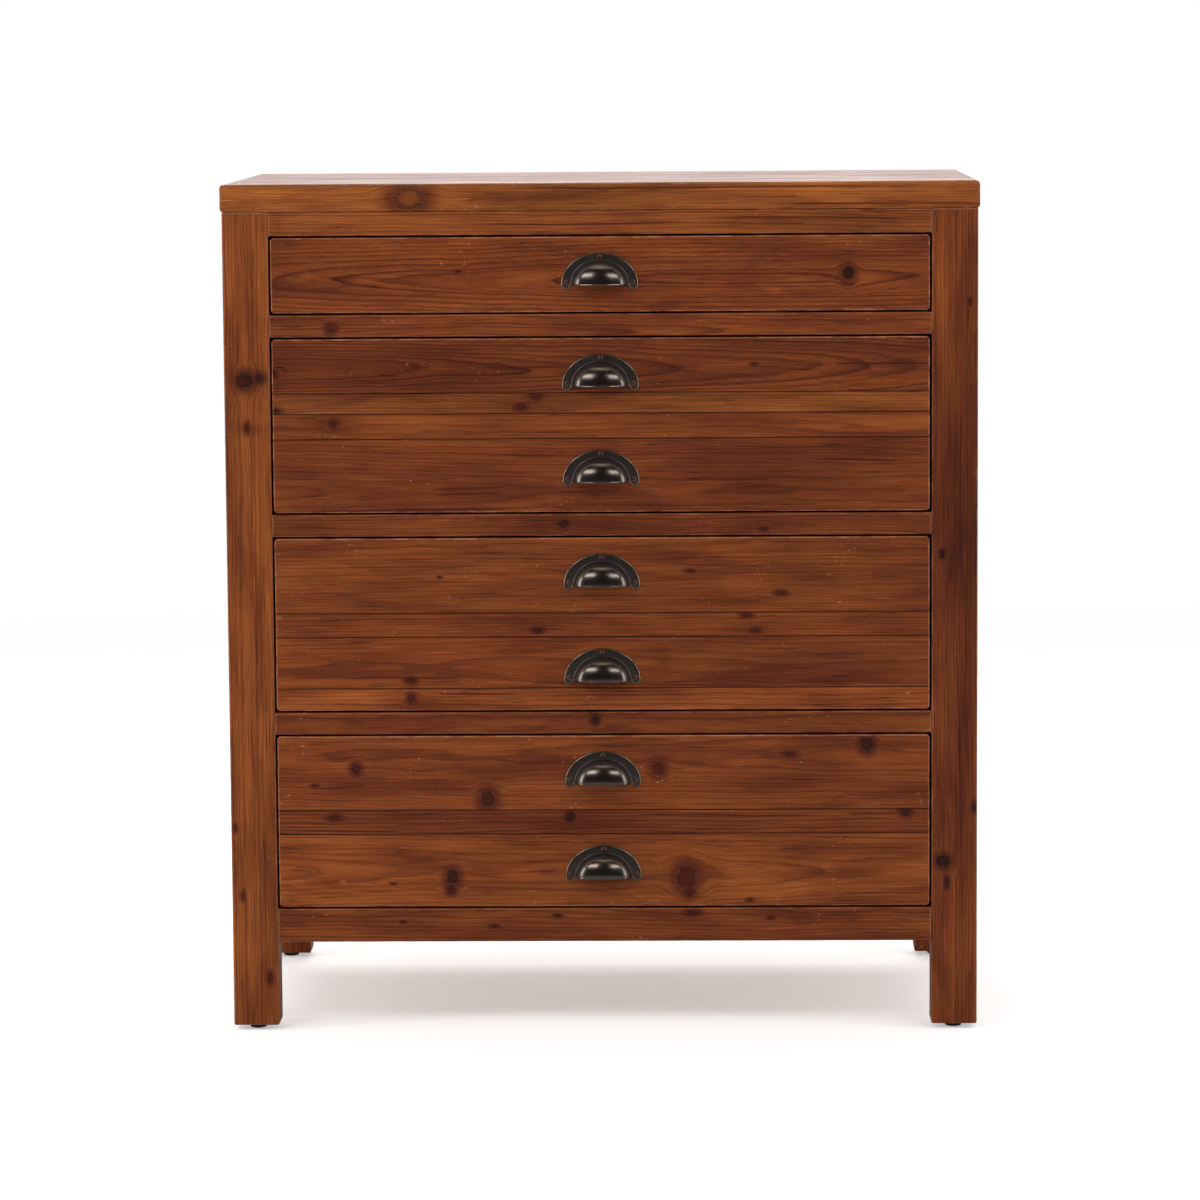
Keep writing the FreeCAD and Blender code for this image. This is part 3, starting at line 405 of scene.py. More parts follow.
def plain_metal(name, shade_of, roughness):
    """Plated steel or bronze, turned and tumbled: a fine mottle over an even colour."""
    made, add = new_material(name)
    mottle = add("TexNoise", add("TexCoord").outputs["Object"], 1 / (1.6 * MM), 3)
    metal = add("VectorMath SCALE", shade_of[:3], add("MapRange", mottle, 0.3, 0.7, 0.7, 1.15))
    add("OutputMaterial", add(
        "BsdfPrincipled", metal, 1.0, roughness,
        Normal=add("Bump", Strength=0.2, Distance=0.05 * MM, Height=mottle)))
    return made


def glide_plastic(look):
    """Black moulded polyethylene: satin, scuffed grey where it drags."""
    made, add = new_material("Moulded plastic")
    scuff = add("TexNoise", add("TexCoord").outputs["Object"], 1 / (2 * MM), 4)
    skin = add("Mix RGBA", add("MapRange", scuff, 0.5, 0.8, 0, 0.5), look.plastic,
               colour("#4a4846"))
    add("OutputMaterial", add(
        "BsdfPrincipled", skin, Roughness=0.45,
        Normal=add("Bump", Strength=0.2, Distance=0.1 * MM, Height=scuff)))
    return made


def finish(name, maker, *values):
    """The material of this name, made the first time that a piece asks for it."""
    return bpy.data.materials.get(name) or maker(*values)


# ---------------------------------------------------------------- boards


KNOT_REACH = 5  # radii of a knot, beyond which nothing shows of it
# In millimetres:
HAIR = 1e-3  # apart, at which two points are still one
BY_JOINT, BY_EDGE = 0.9, 0.7  # from a rounded edge to the cut that keeps the face beyond it flat
BROAD_DENT, SMALL_DENT = 26, 7  # sizes of the dents in a worn edge
STAIN_DEPTH = 45  # how deep a stain goes behind a board's face
JOINT_SHADE_WIDTH = 1.7  # width of the painted shade beside a glue joint
MESH_CELL = 13  # from the middle of a face of a board's mesh to beyond its corners
LOG = 1000  # between the stretches of log that two boards are cut from
board_numbers = itertools.count(1)


class Board:
    """A plank, in millimetres: its block, the way its grain runs, and what grew in it.

    Grain is the axis that it runs along, and face the side that shows most. Heart is where the
    middle of the log lay: its place across the face, and its depth behind it, which changes by lean
    along the board. Knots, stains and streaks start with their place along the grain and across
    it. A knot then has its radius, below nothing for a burl, and how black its heart is, or below
    nothing how red. A stain has its reach both ways, how much it darkens and how much it reddens,
    and a streak has half its length.
    """

    def __init__(self, low, high, grain, face, heart, lean=0.0, ring=3.6, figure=1.0, tone=1.0,
                 amber=0.0, wear=0.45, joints=(), knots=(), stains=(), streaks=(), corner=0.0,
                 round_by=1.0, worn=None):
        self.low, self.high, self.grain, self.face = Vector(low), Vector(high), grain, face
        self.across = 3 - grain - face[0]
        self.heart, self.lean, self.ring, self.figure = heart, lean, ring, figure
        self.tone, self.amber, self.wear = tone, amber, wear
        self.joints, self.corner, self.round_by = set(joints), corner, round_by
        self.knots, self.stains, self.streaks = knots, stains, streaks
        self.worn = worn or (self.low, self.high)

    def level(self, side):
        return (self.high if side[1] > 0 else self.low)[side[0]]


def block(board, look):
    """The board's block, in millimetres: worn edges, and cuts across it that its figure follows."""
    bm = bmesh.new()
    size = board.high - board.low
    bmesh.ops.create_cube(bm, size=1, matrix=Matrix.Translation(
        (board.low + board.high) / 2) @ Matrix.Diagonal((*size, 1)))
    sides = (LEFT, RIGHT, FRONT, BACK, UNDER, TOP)
    worn = [side for side in sides if side not in board.joints]

    def on(edge, side):
        return all(abs(v.co[side[0]] - board.level(side)) < HAIR for v in edge.verts)

    def sharp(edge):
        return len(edge.link_faces) == 2 and edge.calc_face_angle() > SHARP

    def round_off(edges, radius, segments):
        if edges and radius > 0:
            bmesh.ops.bevel(bm, geom=edges, offset=radius, segments=segments, profile=0.5,
                            affect="EDGES", material=-1, clamp_overlap=True)

    facing = board.face[0]
    round_off([e for e in bm.edges if board.corner and sharp(e)
               and abs((e.verts[0].co - e.verts[1].co)[facing]) > 1
               and sum(on(e, side) for side in worn) == 2], board.corner, 4)
    edge_round = min(look.edge_round / MM * board.round_by, min(size) * 0.3)
    round_off([e for e in bm.edges if sharp(e) and not any(on(e, side) for side in board.joints)],
              edge_round, 3)
    round_off([e for e in bm.edges if sharp(e)], look.joint_round / MM, 2)

    for axis in (X, Y, Z):
        count = max(1, round(size[axis] / (look.board_step / MM)))
        cuts = [board.low[axis] + size[axis] * i / count for i in range(1, count)]
        for side in ((axis, -1), (axis, 1)):
            glued = side in board.joints
            beyond = look.joint_round / MM + BY_JOINT if glued else edge_round + BY_EDGE
            cuts.append(board.level(side) - side[1] * beyond)
        for cut in cuts:
            bmesh.ops.bisect_plane(
                bm, geom=bm.verts[:] + bm.edges[:] + bm.faces[:], dist=HAIR,
                plane_co=[cut if i == axis else 0 for i in range(3)],
                plane_no=[1.0 if i == axis else 0.0 for i in range(3)])

    for vert in bm.verts:
        close = [side for side in worn
                 if abs(vert.co[side[0]] - board.level(side)) < edge_round * 1.02]
        if len(close) > 1:
            wander = max(0, noise.noise(vert.co / BROAD_DENT)
                         + 0.5 * noise.noise(vert.co / SMALL_DENT) + 0.15)
            for axis, way in close:
                vert.co[axis] -= way * wander * look.dent / MM
    return bm


def dress(bm, board, number):
    """Writes on the board what its material reads: where it lay in the log, and its wear."""
    across, grain = board.across, board.grain
    facing, way = board.face
    middle = (board.low + board.high) / 2
    apart = number * LOG  # so that no two boards share their figure
    points, faces = bm.verts.layers, bm.faces.layers
    vectors = {name: points.float_vector.new(name) for name in (
        "cut", "tint", "growth", "stain", "centre", "half")}
    seam = points.float.new("seam")
    marks = {name: faces.float_vector.new(name) for name in ("knot_near", "knot_next", "streak")}
    end = faces.float.new("end_grain")
    low, high = board.worn
    centre, half = (low + high) / 2, (high - low) / 2
    for vert in bm.verts:
        depth = way * (board.level(board.face) - vert.co[facing])
        vert[vectors["cut"]] = (
            vert.co[across] - board.heart[0],
            depth + board.heart[1] + board.lean * (vert.co[grain] - middle[grain]),
            vert.co[grain] + apart)
        dark = red = 0.0
        for at, level, reach, spread, darker, redder in board.stains:
            near = math.exp(-((vert.co[grain] - at) / reach) ** 2
                            - ((vert.co[across] - level) / spread) ** 2
                            - (depth / STAIN_DEPTH) ** 2)
            dark, red = dark + near * darker, max(red, near * redder)
        close = min(board.knots, default=None, key=lambda k: (
            math.hypot(vert.co[grain] - k[0], vert.co[across] - k[1]) - abs(k[2])))
        dead = close[3] if close and len(close) > 3 else 0.0
        vert[vectors["stain"]] = (dark, red, dead)
        vert[vectors["tint"]] = (board.tone, board.amber, board.wear)
        vert[vectors["growth"]] = (1 / board.ring, board.figure, 0)
        vert[vectors["centre"]], vert[vectors["half"]] = centre, half
        # Painted shade: the wood is drawn darker within a couple of millimetres of each glue joint
        # between boards, where the groove lies in shade.
        gaps = [abs(vert.co[side[0]] - board.level(side)) for side in board.joints
                if side[0] == across and side != board.face]
        vert[seam] = 1 - min(1, min(gaps, default=FAR) / JOINT_SHADE_WIDTH)
    for face in bm.faces:
        spot = face.calc_center_median()
        reached = sorted(
            ((spot[grain] - k[0]) ** 2 + (spot[across] - k[1]) ** 2, k) for k in board.knots
            if math.hypot(spot[grain] - k[0], spot[across] - k[1]) - MESH_CELL
            < KNOT_REACH * abs(k[2]))
        for name, found in zip(("knot_near", "knot_next"),
                               [k for _, k in reached[:2]] + [None, None]):
            face[marks[name]] = (
                (found[1] - board.heart[0], found[0] + apart, found[2]) if found else (FAR, FAR, 1))
        drawn = min(board.streaks, default=None, key=lambda s: (
            max(0, abs(spot[grain] - s[0]) - s[2]) + abs(spot[across] - s[1])))
        face[marks["streak"]] = (
            (drawn[1] - board.heart[0], drawn[0] + apart, drawn[2]) if drawn else (FAR, FAR, 1))
        face[end] = float(abs(face.normal[grain]) > 0.7)


def as_mesh(name, bm, scale=1.0):
    """A mesh of this bmesh, which is freed."""
    bmesh.ops.scale(bm, vec=(scale,) * 3, verts=bm.verts)
    made = bpy.data.meshes.new(name)
    bm.to_mesh(made)
    bm.free()
    return made


def gather(whole, part):
    """Adds this mesh, which is removed, to the whole."""
    whole.from_mesh(part)
    bpy.data.meshes.remove(part)


def loose_object(name, bm, scale=1.0):
    """A mesh object of this bmesh, which is freed."""
    made = bpy.data.objects.new(name, as_mesh(name, bm, scale))
    bpy.context.scene.collection.objects.link(made)
    return made


def cad_copy(node):
    """A copy of a CAD node's solid, in millimetres, with its loose triangles merged."""
    bm = bmesh.new()
    bm.from_mesh(NODES[node].data)
    bmesh.ops.remove_doubles(bm, verts=bm.verts, dist=1e-6)
    return loose_object(node + "_cutter", bm, 1 / MM)


def drop(made):
    """Removes a helper object and its mesh."""
    mesh = made.data
    bpy.data.objects.remove(made)
    bpy.data.meshes.remove(mesh)


def socketed(bm, cutters):
    """The board with sockets where these objects go into it."""
    blank = loose_object("blank", bm)
    for cutter in cutters:
        trim = blank.modifiers.new("socket", "BOOLEAN")
        trim.operation, trim.solver, trim.object = "DIFFERENCE", "EXACT", cutter
    bpy.context.view_layer.update()
    shaped = blank.evaluated_get(bpy.context.evaluated_depsgraph_get())
    cut = bmesh.new()
    cut.from_mesh(shaped.to_mesh())
    drop(blank)
    return cut


def settle(made, body, slot, material, *nodes, angle=38):
    """Finishes a piece: smooth faces with sharp corners, its material, body and CAD nodes; the slot
    is not used.
    """
    made.data.materials.clear()
    made.data.materials.append(material)
    made.data.shade_smooth()
    made.data.set_sharp_from_angle(angle=math.radians(angle))
    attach(made, body)
    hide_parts(*nodes)
    return made


def joinery(name, boards, body, nodes, cutters=()):
    """A piece of waxed boards, which stands for CAD nodes."""
    look = bpy.context.scene.seed_cabinet_pine
    whole = bmesh.new()
    for board in boards:
        bm = block(board, look)
        if cutters:
            bm = socketed(bm, cutters)
        dress(bm, board, next(board_numbers))
        gather(whole, as_mesh("part", bm, MM))
    return settle(loose_object(name, whole), body, "waxed_pine",
                  finish("Waxed pine", waxed_pine, look), *nodes)


def plank(node, grain, face, reach=None, **own):
    """A carcass piece of one board, without the tenons that lie outside its reach."""
    low, high = box(node)
    if reach:
        low[grain], high[grain] = reach
    joinery(node + "_board", [Board(low, high, grain, face, **own)], "carcass", [node])


def recoat(nodes, material):
    """Gives CAD nodes, which stay as they are, a material."""
    for node in nodes:
        slots = NODES[node].data.materials
        slots.clear()
        slots.append(material)


# ---------------------------------------------------------------- the chest's pieces


class SEED_OT_top(bpy.types.Operator):
    """Makes the top from five glued boards, with a burl on its front edge"""

    bl_idname = "seed_cabinet.top"
    bl_label = "Top"

    def execute(self, context):
        low, high = box("top_boards")
        depth = (high.y - low.y) / TOP_BOARDS
        chance = random.Random(11)
        boards = [Board(
            low, (high.x, low.y + depth, high.z), X, FRONT, heart=(low.z - 26, 16), lean=0.012,
            ring=3.4, figure=0.55, tone=1.15, amber=0.55, wear=1.3, joints=(BACK,),
            worn=(low, high), round_by=1.7, knots=((-221, 983, -14, -0.1),),
            stains=((-221, 984, 30, 30, 0.0, 0.4), (-390, 984, 110, 40, -0.1, 0),
                    (0, 984, 140, 40, 0.22, 0.12)), streaks=((330, 973, 150), (120, 994, 260)))]
        for i in range(1, TOP_BOARDS):
            start = low.y + depth * i
            boards.append(Board(
                (low.x, start, low.z), (high.x, start + depth, high.z), X, TOP,
                heart=(start + depth * chance.uniform(0.2, 0.9), chance.uniform(14, 40)),
                lean=chance.uniform(-0.04, 0.04), ring=3.6, tone=chance.uniform(0.96, 1.14),
                amber=chance.uniform(0.1, 0.45),
                joints=(FRONT, BACK) if i < TOP_BOARDS - 1 else (FRONT,),
                figure=1.3, worn=(low, high), round_by=1.7,
                knots=[(chance.uniform(-400, 400), start + depth * chance.uniform(0.2, 0.8),
                        chance.uniform(3, 8)) for _ in range(2)]))
        joinery("top_slab", boards, "carcass", ["top_boards"])
        return {"FINISHED"}


# Where each post's log lay, and what shows on it.
POSTS = {
    "front_left_post": dict(
        heart=(-310, 60), tone=1.02, amber=0.26,
        knots=((772, -416, 10.5, 0.05), (775, -399, 5.5, -0.3), (717, -414, 2.6, -0.95),
               (243, -435, 2.2, -0.5), (162, -427, 2.4, -0.7), (63, -395.5, 3, -0.6)),
        stains=((774, -404, 10, 22, 0.4, 0.5), (716, -412, 4, 17, 0.35, 0.3),
                (870, -410, 90, 60, -0.1, 0), (40, -410, 60, 60, -0.05, 0))),
    "front_right_post": dict(
        heart=(480, 24), tone=0.9, amber=0.08,
        knots=((565, 398, 4, 0.6), (265, 436, 2.6), (201, 400, 9, 0.7), (176, 404, 3),
               (860, 430, 2)),
        stains=((230, 410, 70, 40, 0.1, 0.3), (480, 428, 260, 13, 0.2, 0.5),
                (600, 413, 170, 50, 0.2, 0.5), (850, 428, 90, 9, 0.15, 0.4),
                (860, 405, 80, 14, -0.15, 0)),
        streaks=((640, 421, 110), (330, 419, 160))),
    "rear_left_post": dict(
        heart=(-480, 40), tone=0.95, amber=0.1, knots=((610, -404, 5), (190, -420, 4))),
    "rear_right_post": dict(
        heart=(410, 30), tone=0.95, amber=0.1, knots=((470, 420, 6), (820, 402, 3))),
}


class SEED_OT_posts(bpy.types.Operator):
    """Makes the four posts, mortised in the CAD model for their rails"""

    bl_idname = "seed_cabinet.posts"
    bl_label = "Posts"

    def execute(self, context):
        for node, own in POSTS.items():
            face = FRONT if node.startswith("front") else BACK
            plank(node, Z, face, joints=(TOP,), ring=3.8, **own)
        return {"FINISHED"}


# Where each front rail's log lay, and what shows on it.
FRONT_RAILS = {
    "top_rail": dict(
        heart=(925, 20), lean=0.01, tone=1.05, amber=0.32,
        stains=((-260, 954, 180, 40, -0.08, 0), (330, 954, 170, 40, 0.12, 0.1),
                (-375, 954, 12, 40, 0.2, 0.2)), streaks=((-22, 952.5, 140), (250, 957.5, 135))),
    "divider_rail_1": dict(
        heart=(828, 6), lean=0.02, tone=0.97, amber=0.06, knots=((-314, 831, 5.5, -0.97),),
        stains=((-330, 835, 60, 12, 0.1, 0),)),
    "divider_rail_2": dict(
        heart=(640, 10), tone=0.86, amber=0.05, knots=((-44, 602, 4.4), (189, 595, 2.2)),
        stains=((-350, 601, 40, 12, 0.15, 0.3), (-44, 602, 60, 14, 0.1, 0.4))),
    "divider_rail_3": dict(
        heart=(362, 30), tone=0.87, amber=0.05, knots=((-9, 371, 5.5),),
        stains=((-9, 368, 60, 14, 0.1, 0.3), (300, 366, 150, 30, 0.12, 0.1))),
    "bottom_rail": dict(
        heart=(150, 18), lean=-0.015, tone=0.87, amber=0.05,
        knots=((-238, 130, 1.4), (-130, 125, 1.9, -0.6), (-54.5, 137, 2), (105, 140, 3.2, -0.3),
               (197, 133.5, 1.8, -0.8))),
}


class SEED_OT_front_rails(bpy.types.Operator):
    """Makes the top rail, the three dividers between drawers and the bottom rail"""

    bl_idname = "seed_cabinet.front_rails"
    bl_label = "Front rails"

    def execute(self, context):
        inner = box("front_right_post")[0].x
        for node, own in FRONT_RAILS.items():
            plank(node, X, FRONT, (-inner, inner), joints=(LEFT, RIGHT, BACK), ring=3.4, **own)
        return {"FINISHED"}


class SEED_OT_sides(bpy.types.Operator):
    """Makes both boarded sides and the rails that hold them"""

    bl_idname = "seed_cabinet.sides"
    bl_label = "Sides"

    def execute(self, context):
        front, rear = box("front_left_post")[1].y, box("rear_left_post")[0].y
        chance = random.Random(23)
        for name, face in (("left", LEFT), ("right", RIGHT)):
            for level in ("top", "bottom"):
                node = f"{name}_{level}_side_rail"
                low, high = box(node)
                plank(node, Y, face, (front, rear),
                      heart=(chance.uniform(low.z, high.z), chance.uniform(12, 34)),
                      lean=chance.uniform(-0.03, 0.03), tone=chance.uniform(0.88, 1.02),
                      amber=chance.uniform(0, 0.25), joints=(FRONT, BACK, (face[0], -face[1])),
                      knots=((chance.uniform(front + 40, rear - 40),
                              chance.uniform(low.z + 12, high.z - 12), chance.uniform(3, 6)),))
            node = name + "_side_panel"
            low, high = box(node)
            width = (high.y - low.y) / SIDE_BOARDS
            boards = []
            for i in range(SIDE_BOARDS):
                start = low.y + width * i
                boards.append(Board(
                    (low.x, start, low.z), (high.x, start + width, high.z), Z, face,
                    heart=(start + width * chance.uniform(0.1, 0.9), chance.uniform(10, 40)),
                    lean=chance.uniform(-0.05, 0.05), tone=chance.uniform(0.84, 1.04),
                    amber=chance.uniform(0, 0.3), joints=(UNDER, TOP),
                    knots=[(low.z + 60 + (high.z - low.z - 120) * (k + chance.random()) / 2,
                            start + width * chance.uniform(0.2, 0.8), chance.uniform(2, 8),
                            chance.uniform(0, 0.6))
                           for k in range(2)]))
            joinery(node + "_boards", boards, "carcass", [node])
        return {"FINISHED"}


class SEED_OT_back(bpy.types.Operator):
    """Makes the back rails, and finishes the plywood back"""

    bl_idname = "seed_cabinet.back"
    bl_label = "Back"

    def execute(self, context):
        look = context.scene.seed_cabinet_pine
        inner = box("rear_right_post")[0].x
        for node, heart in (("back_top_rail", 24), ("back_bottom_rail", 14)):
            low, high = box(node)
            plank(node, X, BACK, (-inner, inner), heart=((low.z + high.z) / 2, heart), lean=0.02,
                  tone=0.92, amber=0.1, joints=(LEFT, RIGHT, FRONT),
                  knots=((-180, low.z + 22, 5), (240, high.z - 20, 4)))
        recoat(["back_panel"], finish("Plywood Y", plywood, look, Y))
        return {"FINISHED"}


class SEED_OT_inside(bpy.types.Operator):
    """Finishes the runners, kickers, stops, cleats, bottom and screws inside the frame"""

    bl_idname = "seed_cabinet.inside"
    bl_label = "Inside"

    def execute(self, context):
        look = context.scene.seed_cabinet_pine
        recoat([f"drawer_{n}_runners" for n in DRAWERS] + ["top_kickers", "bottom_cleats"],
               finish("Raw pine Y", raw_pine, look, Y))
        recoat(["drawer_stops"], finish("Raw pine X", raw_pine, look, X))
        recoat(["bottom_panel"], finish("Plywood Z", plywood, look, Z))
        recoat(["frame_screws"], finish("Zinc plate", plain_metal, "Zinc plate",
                                        context.scene.seed_cabinet_metal.zinc, 0.35))
        return {"FINISHED"}


# Each drawer's boards from its foot up: where the next joint lies, then the board's own.
FRONT_BOARDS = {
    1: ((None, dict(
            heart=(888, 7.5), lean=-0.05, ring=4.2, figure=1.25, tone=0.95, amber=0.04,
            knots=((289, 894, 8, 0.95), (-165, 897.5, 1.4)),
            stains=((-384, 894, 30, 60, 0.12, 0.15), (384, 940, 30, 14, 0.3, 0.2),
                    (-250, 858, 200, 18, -0.05, 0)))),),
    2: ((702.5, dict(
            heart=(640, 30), lean=0.01, figure=0.85, tone=0.92, amber=0.02,
            stains=((230, 660, 150, 60, 0.15, 0.1), (-150, 640, 60, 8, 0.05, 0.2),
                    (-340, 650, 60, 60, 0.05, 0)),
            streaks=((-156, 643, 52), (-156, 637, 46), (150, 653, 60), (-230, 620, 150),
                     (300, 676, 60)))),
        (732, dict(
            heart=(700, 34), figure=0.8, tone=0.96, amber=0.12, knots=((-312, 721, 5, -0.97),),
            stains=((-312, 720, 30, 16, 0.08, 0.5), (280, 717, 200, 30, -0.14, 0)))),
        (756, dict(
            heart=(800, 26), figure=0.7, tone=0.9, amber=0.36,
            knots=((-76, 753, 4.2, -0.85), (-93, 740, 3.6, -0.9), (-382, 736, 3.4, -0.3)),
            stains=((-80, 750, 40, 14, 0.05, 0.35), (330, 744, 90, 20, -0.05, 0)))),
        (None, dict(
            heart=(785, 22), lean=0.035, ring=3.3, figure=1.35, tone=0.84, amber=0.0,
            knots=((179, 788, 1.6, -0.6), (-384, 779, 5)),
            stains=((-230, 790, 130, 30, 0.08, 0.5), (-384, 785, 40, 14, 0.2, 0.3),
                    (280, 770, 140, 16, -0.12, 0)), streaks=((-90, 786, 60), (330, 790, 70))))),
    3: ((408.5, dict(
            heart=(370, 20), tone=1.17, amber=0.2, knots=((-225, 397, 5.5, -0.2),),
            stains=((-225, 397, 30, 14, 0.05, 0.4), (300, 395, 130, 20, -0.04, 0)),
            streaks=((-150, 403, 60),))),
        (469, dict(
            heart=(430, 34), figure=0.85, tone=1.0, amber=0.1, knots=((-225, 418, 4, -0.2),),
            stains=((200, 430, 190, 40, 0.1, 0.25), (70, 440, 14, 20, 0.1, 0.4),
                    (-250, 440, 90, 26, -0.06, 0)), streaks=((-240, 420, 90), (120, 412, 90)))),
        (497.5, dict(
            heart=(540, 20), figure=0.85, tone=0.9, amber=0.04,
            knots=((-76, 477, 2.8, -0.3), (180.5, 476, 2.4, -0.8), (169, 494, 3, -0.8)),
            stains=((180, 485, 40, 14, 0.05, 0.3),))),
        (None, dict(
            heart=(600, 42), lean=0.006, ring=3.8, figure=0.75, tone=0.9, amber=0.12,
            knots=((103.5, 546, 2.0, -0.8), (210, 520, 2.8, -0.95), (-190, 540, 1.2)),
            stains=((300, 540, 160, 50, 0.04, 0.15),)))),
    4: ((235, dict(
            heart=(190, 30), lean=0.02, figure=0.85, tone=1.03, amber=0.18,
            knots=((-178.5, 184, 9, 0.1), (-180.5, 169, 5.5, -0.3), (98, 183, 14.5, -0.65),
                   (101, 167, 8, -0.6), (-249, 176, 1.4), (172, 155, 1.8, -0.6)),
            stains=((-320, 190, 80, 60, -0.15, 0), (98, 185, 40, 30, 0.05, 0.35),
                    (0, 190, 60, 60, 0.12, 0.1), (-105, 163, 55, 16, 0.2, 0),
                    (300, 190, 110, 60, 0.08, 0)))),
        (263.5, dict(
            heart=(228, 16), tone=0.85, amber=0.0,
            knots=((-317, 255, 3.4, -0.7), (-39, 255, 6), (356, 259, 4.5, -0.2)),
            stains=((-39, 252, 60, 14, 0.08, 0.4),),
            streaks=((-300, 240, 70), (330, 258, 50), (140, 257, 120)))),
        (None, dict(
            heart=(330, 34), lean=-0.01, figure=0.85, tone=0.97, amber=0.08,
            knots=((-291, 313, 6.5, -0.1), (-340, 293, 1.8, -0.5), (-136, 277, 10, -0.2),
                   (65, 312, 8.5, -0.9), (220, 329, 3.4, -0.8), (310.5, 341, 9, 0.1)),
            stains=((-384, 300, 60, 60, -0.06, 0), (300, 300, 120, 60, 0.06, 0.1))))),
}


class SEED_OT_drawer_fronts(bpy.types.Operator):
    """Makes the drawer fronts from glued boards, socketed for their dovetails and bottoms"""

    bl_idname = "seed_cabinet.drawer_fronts"
    bl_label = "Drawer fronts"

    def execute(self, context):
        for number, own in FRONT_BOARDS.items():
            node = f"drawer_{number}_front"
            low, high = box(node)
            cutters = [cad_copy(f"drawer_{number}_{part}")
                       for part in ("left_side", "right_side", "bottom")]
            planks, foot = [], low.z
            for i, (joint, facts) in enumerate(own):
                head = joint or high.z
                joints = {BACK} | ({UNDER} if i else set()) | ({TOP} if joint else set())
                planks.append(Board(
                    (low.x, low.y, foot), (high.x, high.y, head), X, FRONT, joints=joints,
                    corner=context.scene.seed_cabinet_pine.corner_round / MM, wear=1.0,
                    worn=(low, high), **facts))
                foot = head
            joinery(node + "_boards", planks, f"drawer_{number}", [node], cutters)
            for cutter in cutters:
                drop(cutter)
        return {"FINISHED"}


class SEED_OT_drawer_boxes(bpy.types.Operator):
    """Finishes the drawers' dovetailed sides and backs in raw pine, and their plywood bottoms"""

    bl_idname = "seed_cabinet.drawer_boxes"
    bl_label = "Drawer boxes"

    def execute(self, context):
        look = context.scene.seed_cabinet_pine
        for n in DRAWERS:
            recoat([f"drawer_{n}_left_side", f"drawer_{n}_right_side"],
                   finish("Raw pine Y", raw_pine, look, Y))
            recoat([f"drawer_{n}_back"], finish("Raw pine X", raw_pine, look, X))
            recoat([f"drawer_{n}_bottom"], finish("Plywood Z", plywood, look, Z))
        return {"FINISHED"}


# Of a pull, in millimetres: its cup's width, its plate's thickness, and its ears' radius.
CUP_WIDTH, PLATE, EAR = 64.0, 2.0, 5.5
CUP_FULLNESS = 2.05  # 2 is round, and more is fuller
SCREWS = ((-38.5, 3), (38.5, 3), (0, 32.25))  # across a pull, and above its mouth
GLIDE = 10  # radius in millimetres


def cup_line(half, start, out, steps):
    """Points from a cup's side to its crown: its distance from the middle, and from the drawer."""
    turns = [math.pi / 2 * i / steps for i in range(steps + 1)]
    return [(half * max(0.0, math.cos(t)) ** (2 / CUP_FULLNESS) if t < math.pi / 2 - 1e-6 else 0.0,
             start + (out - start) * math.sin(t) ** (2 / CUP_FULLNESS)) for t in turns]


def bead(points, radius):
    """A rolled edge along these points, as a mesh."""
    line = bpy.data.curves.new("bead", "CURVE")
    line.dimensions, line.use_fill_caps = "3D", True
    line.bevel_depth, line.bevel_resolution = radius, 3
    spline = line.splines.new("POLY")
    spline.points.add(len(points) - 1)
    for point, at in zip(spline.points, points):
        point.co = (*at, 1)
    holder = bpy.data.objects.new("bead", line)
    made = bpy.data.meshes.new_from_object(holder)
    bpy.data.objects.remove(holder)
    bpy.data.curves.remove(line)
    return made


def turned(bm, outline, middle, angle, steps):
    """Sweeps an outline, of distances and depths, about a middle into a closed solid."""
    flip = -1 if middle < 0 else 1
    face = bm.faces.new([bm.verts.new((middle + flip * r, -depth, 0)) for r, depth in outline])
    old = set(bm.verts) - set(face.verts)
    bmesh.ops.spin(bm, geom=[face], cent=(middle, 0, 0), axis=(0, -1, 0), angle=flip * angle,
                   steps=steps, use_merge=False, use_duplicate=False)
    bmesh.ops.remove_doubles(bm, verts=[v for v in bm.verts if v not in old], dist=1e-4)
    bmesh.ops.holes_fill(bm, edges=[e for e in bm.edges if e.is_boundary], sides=0)


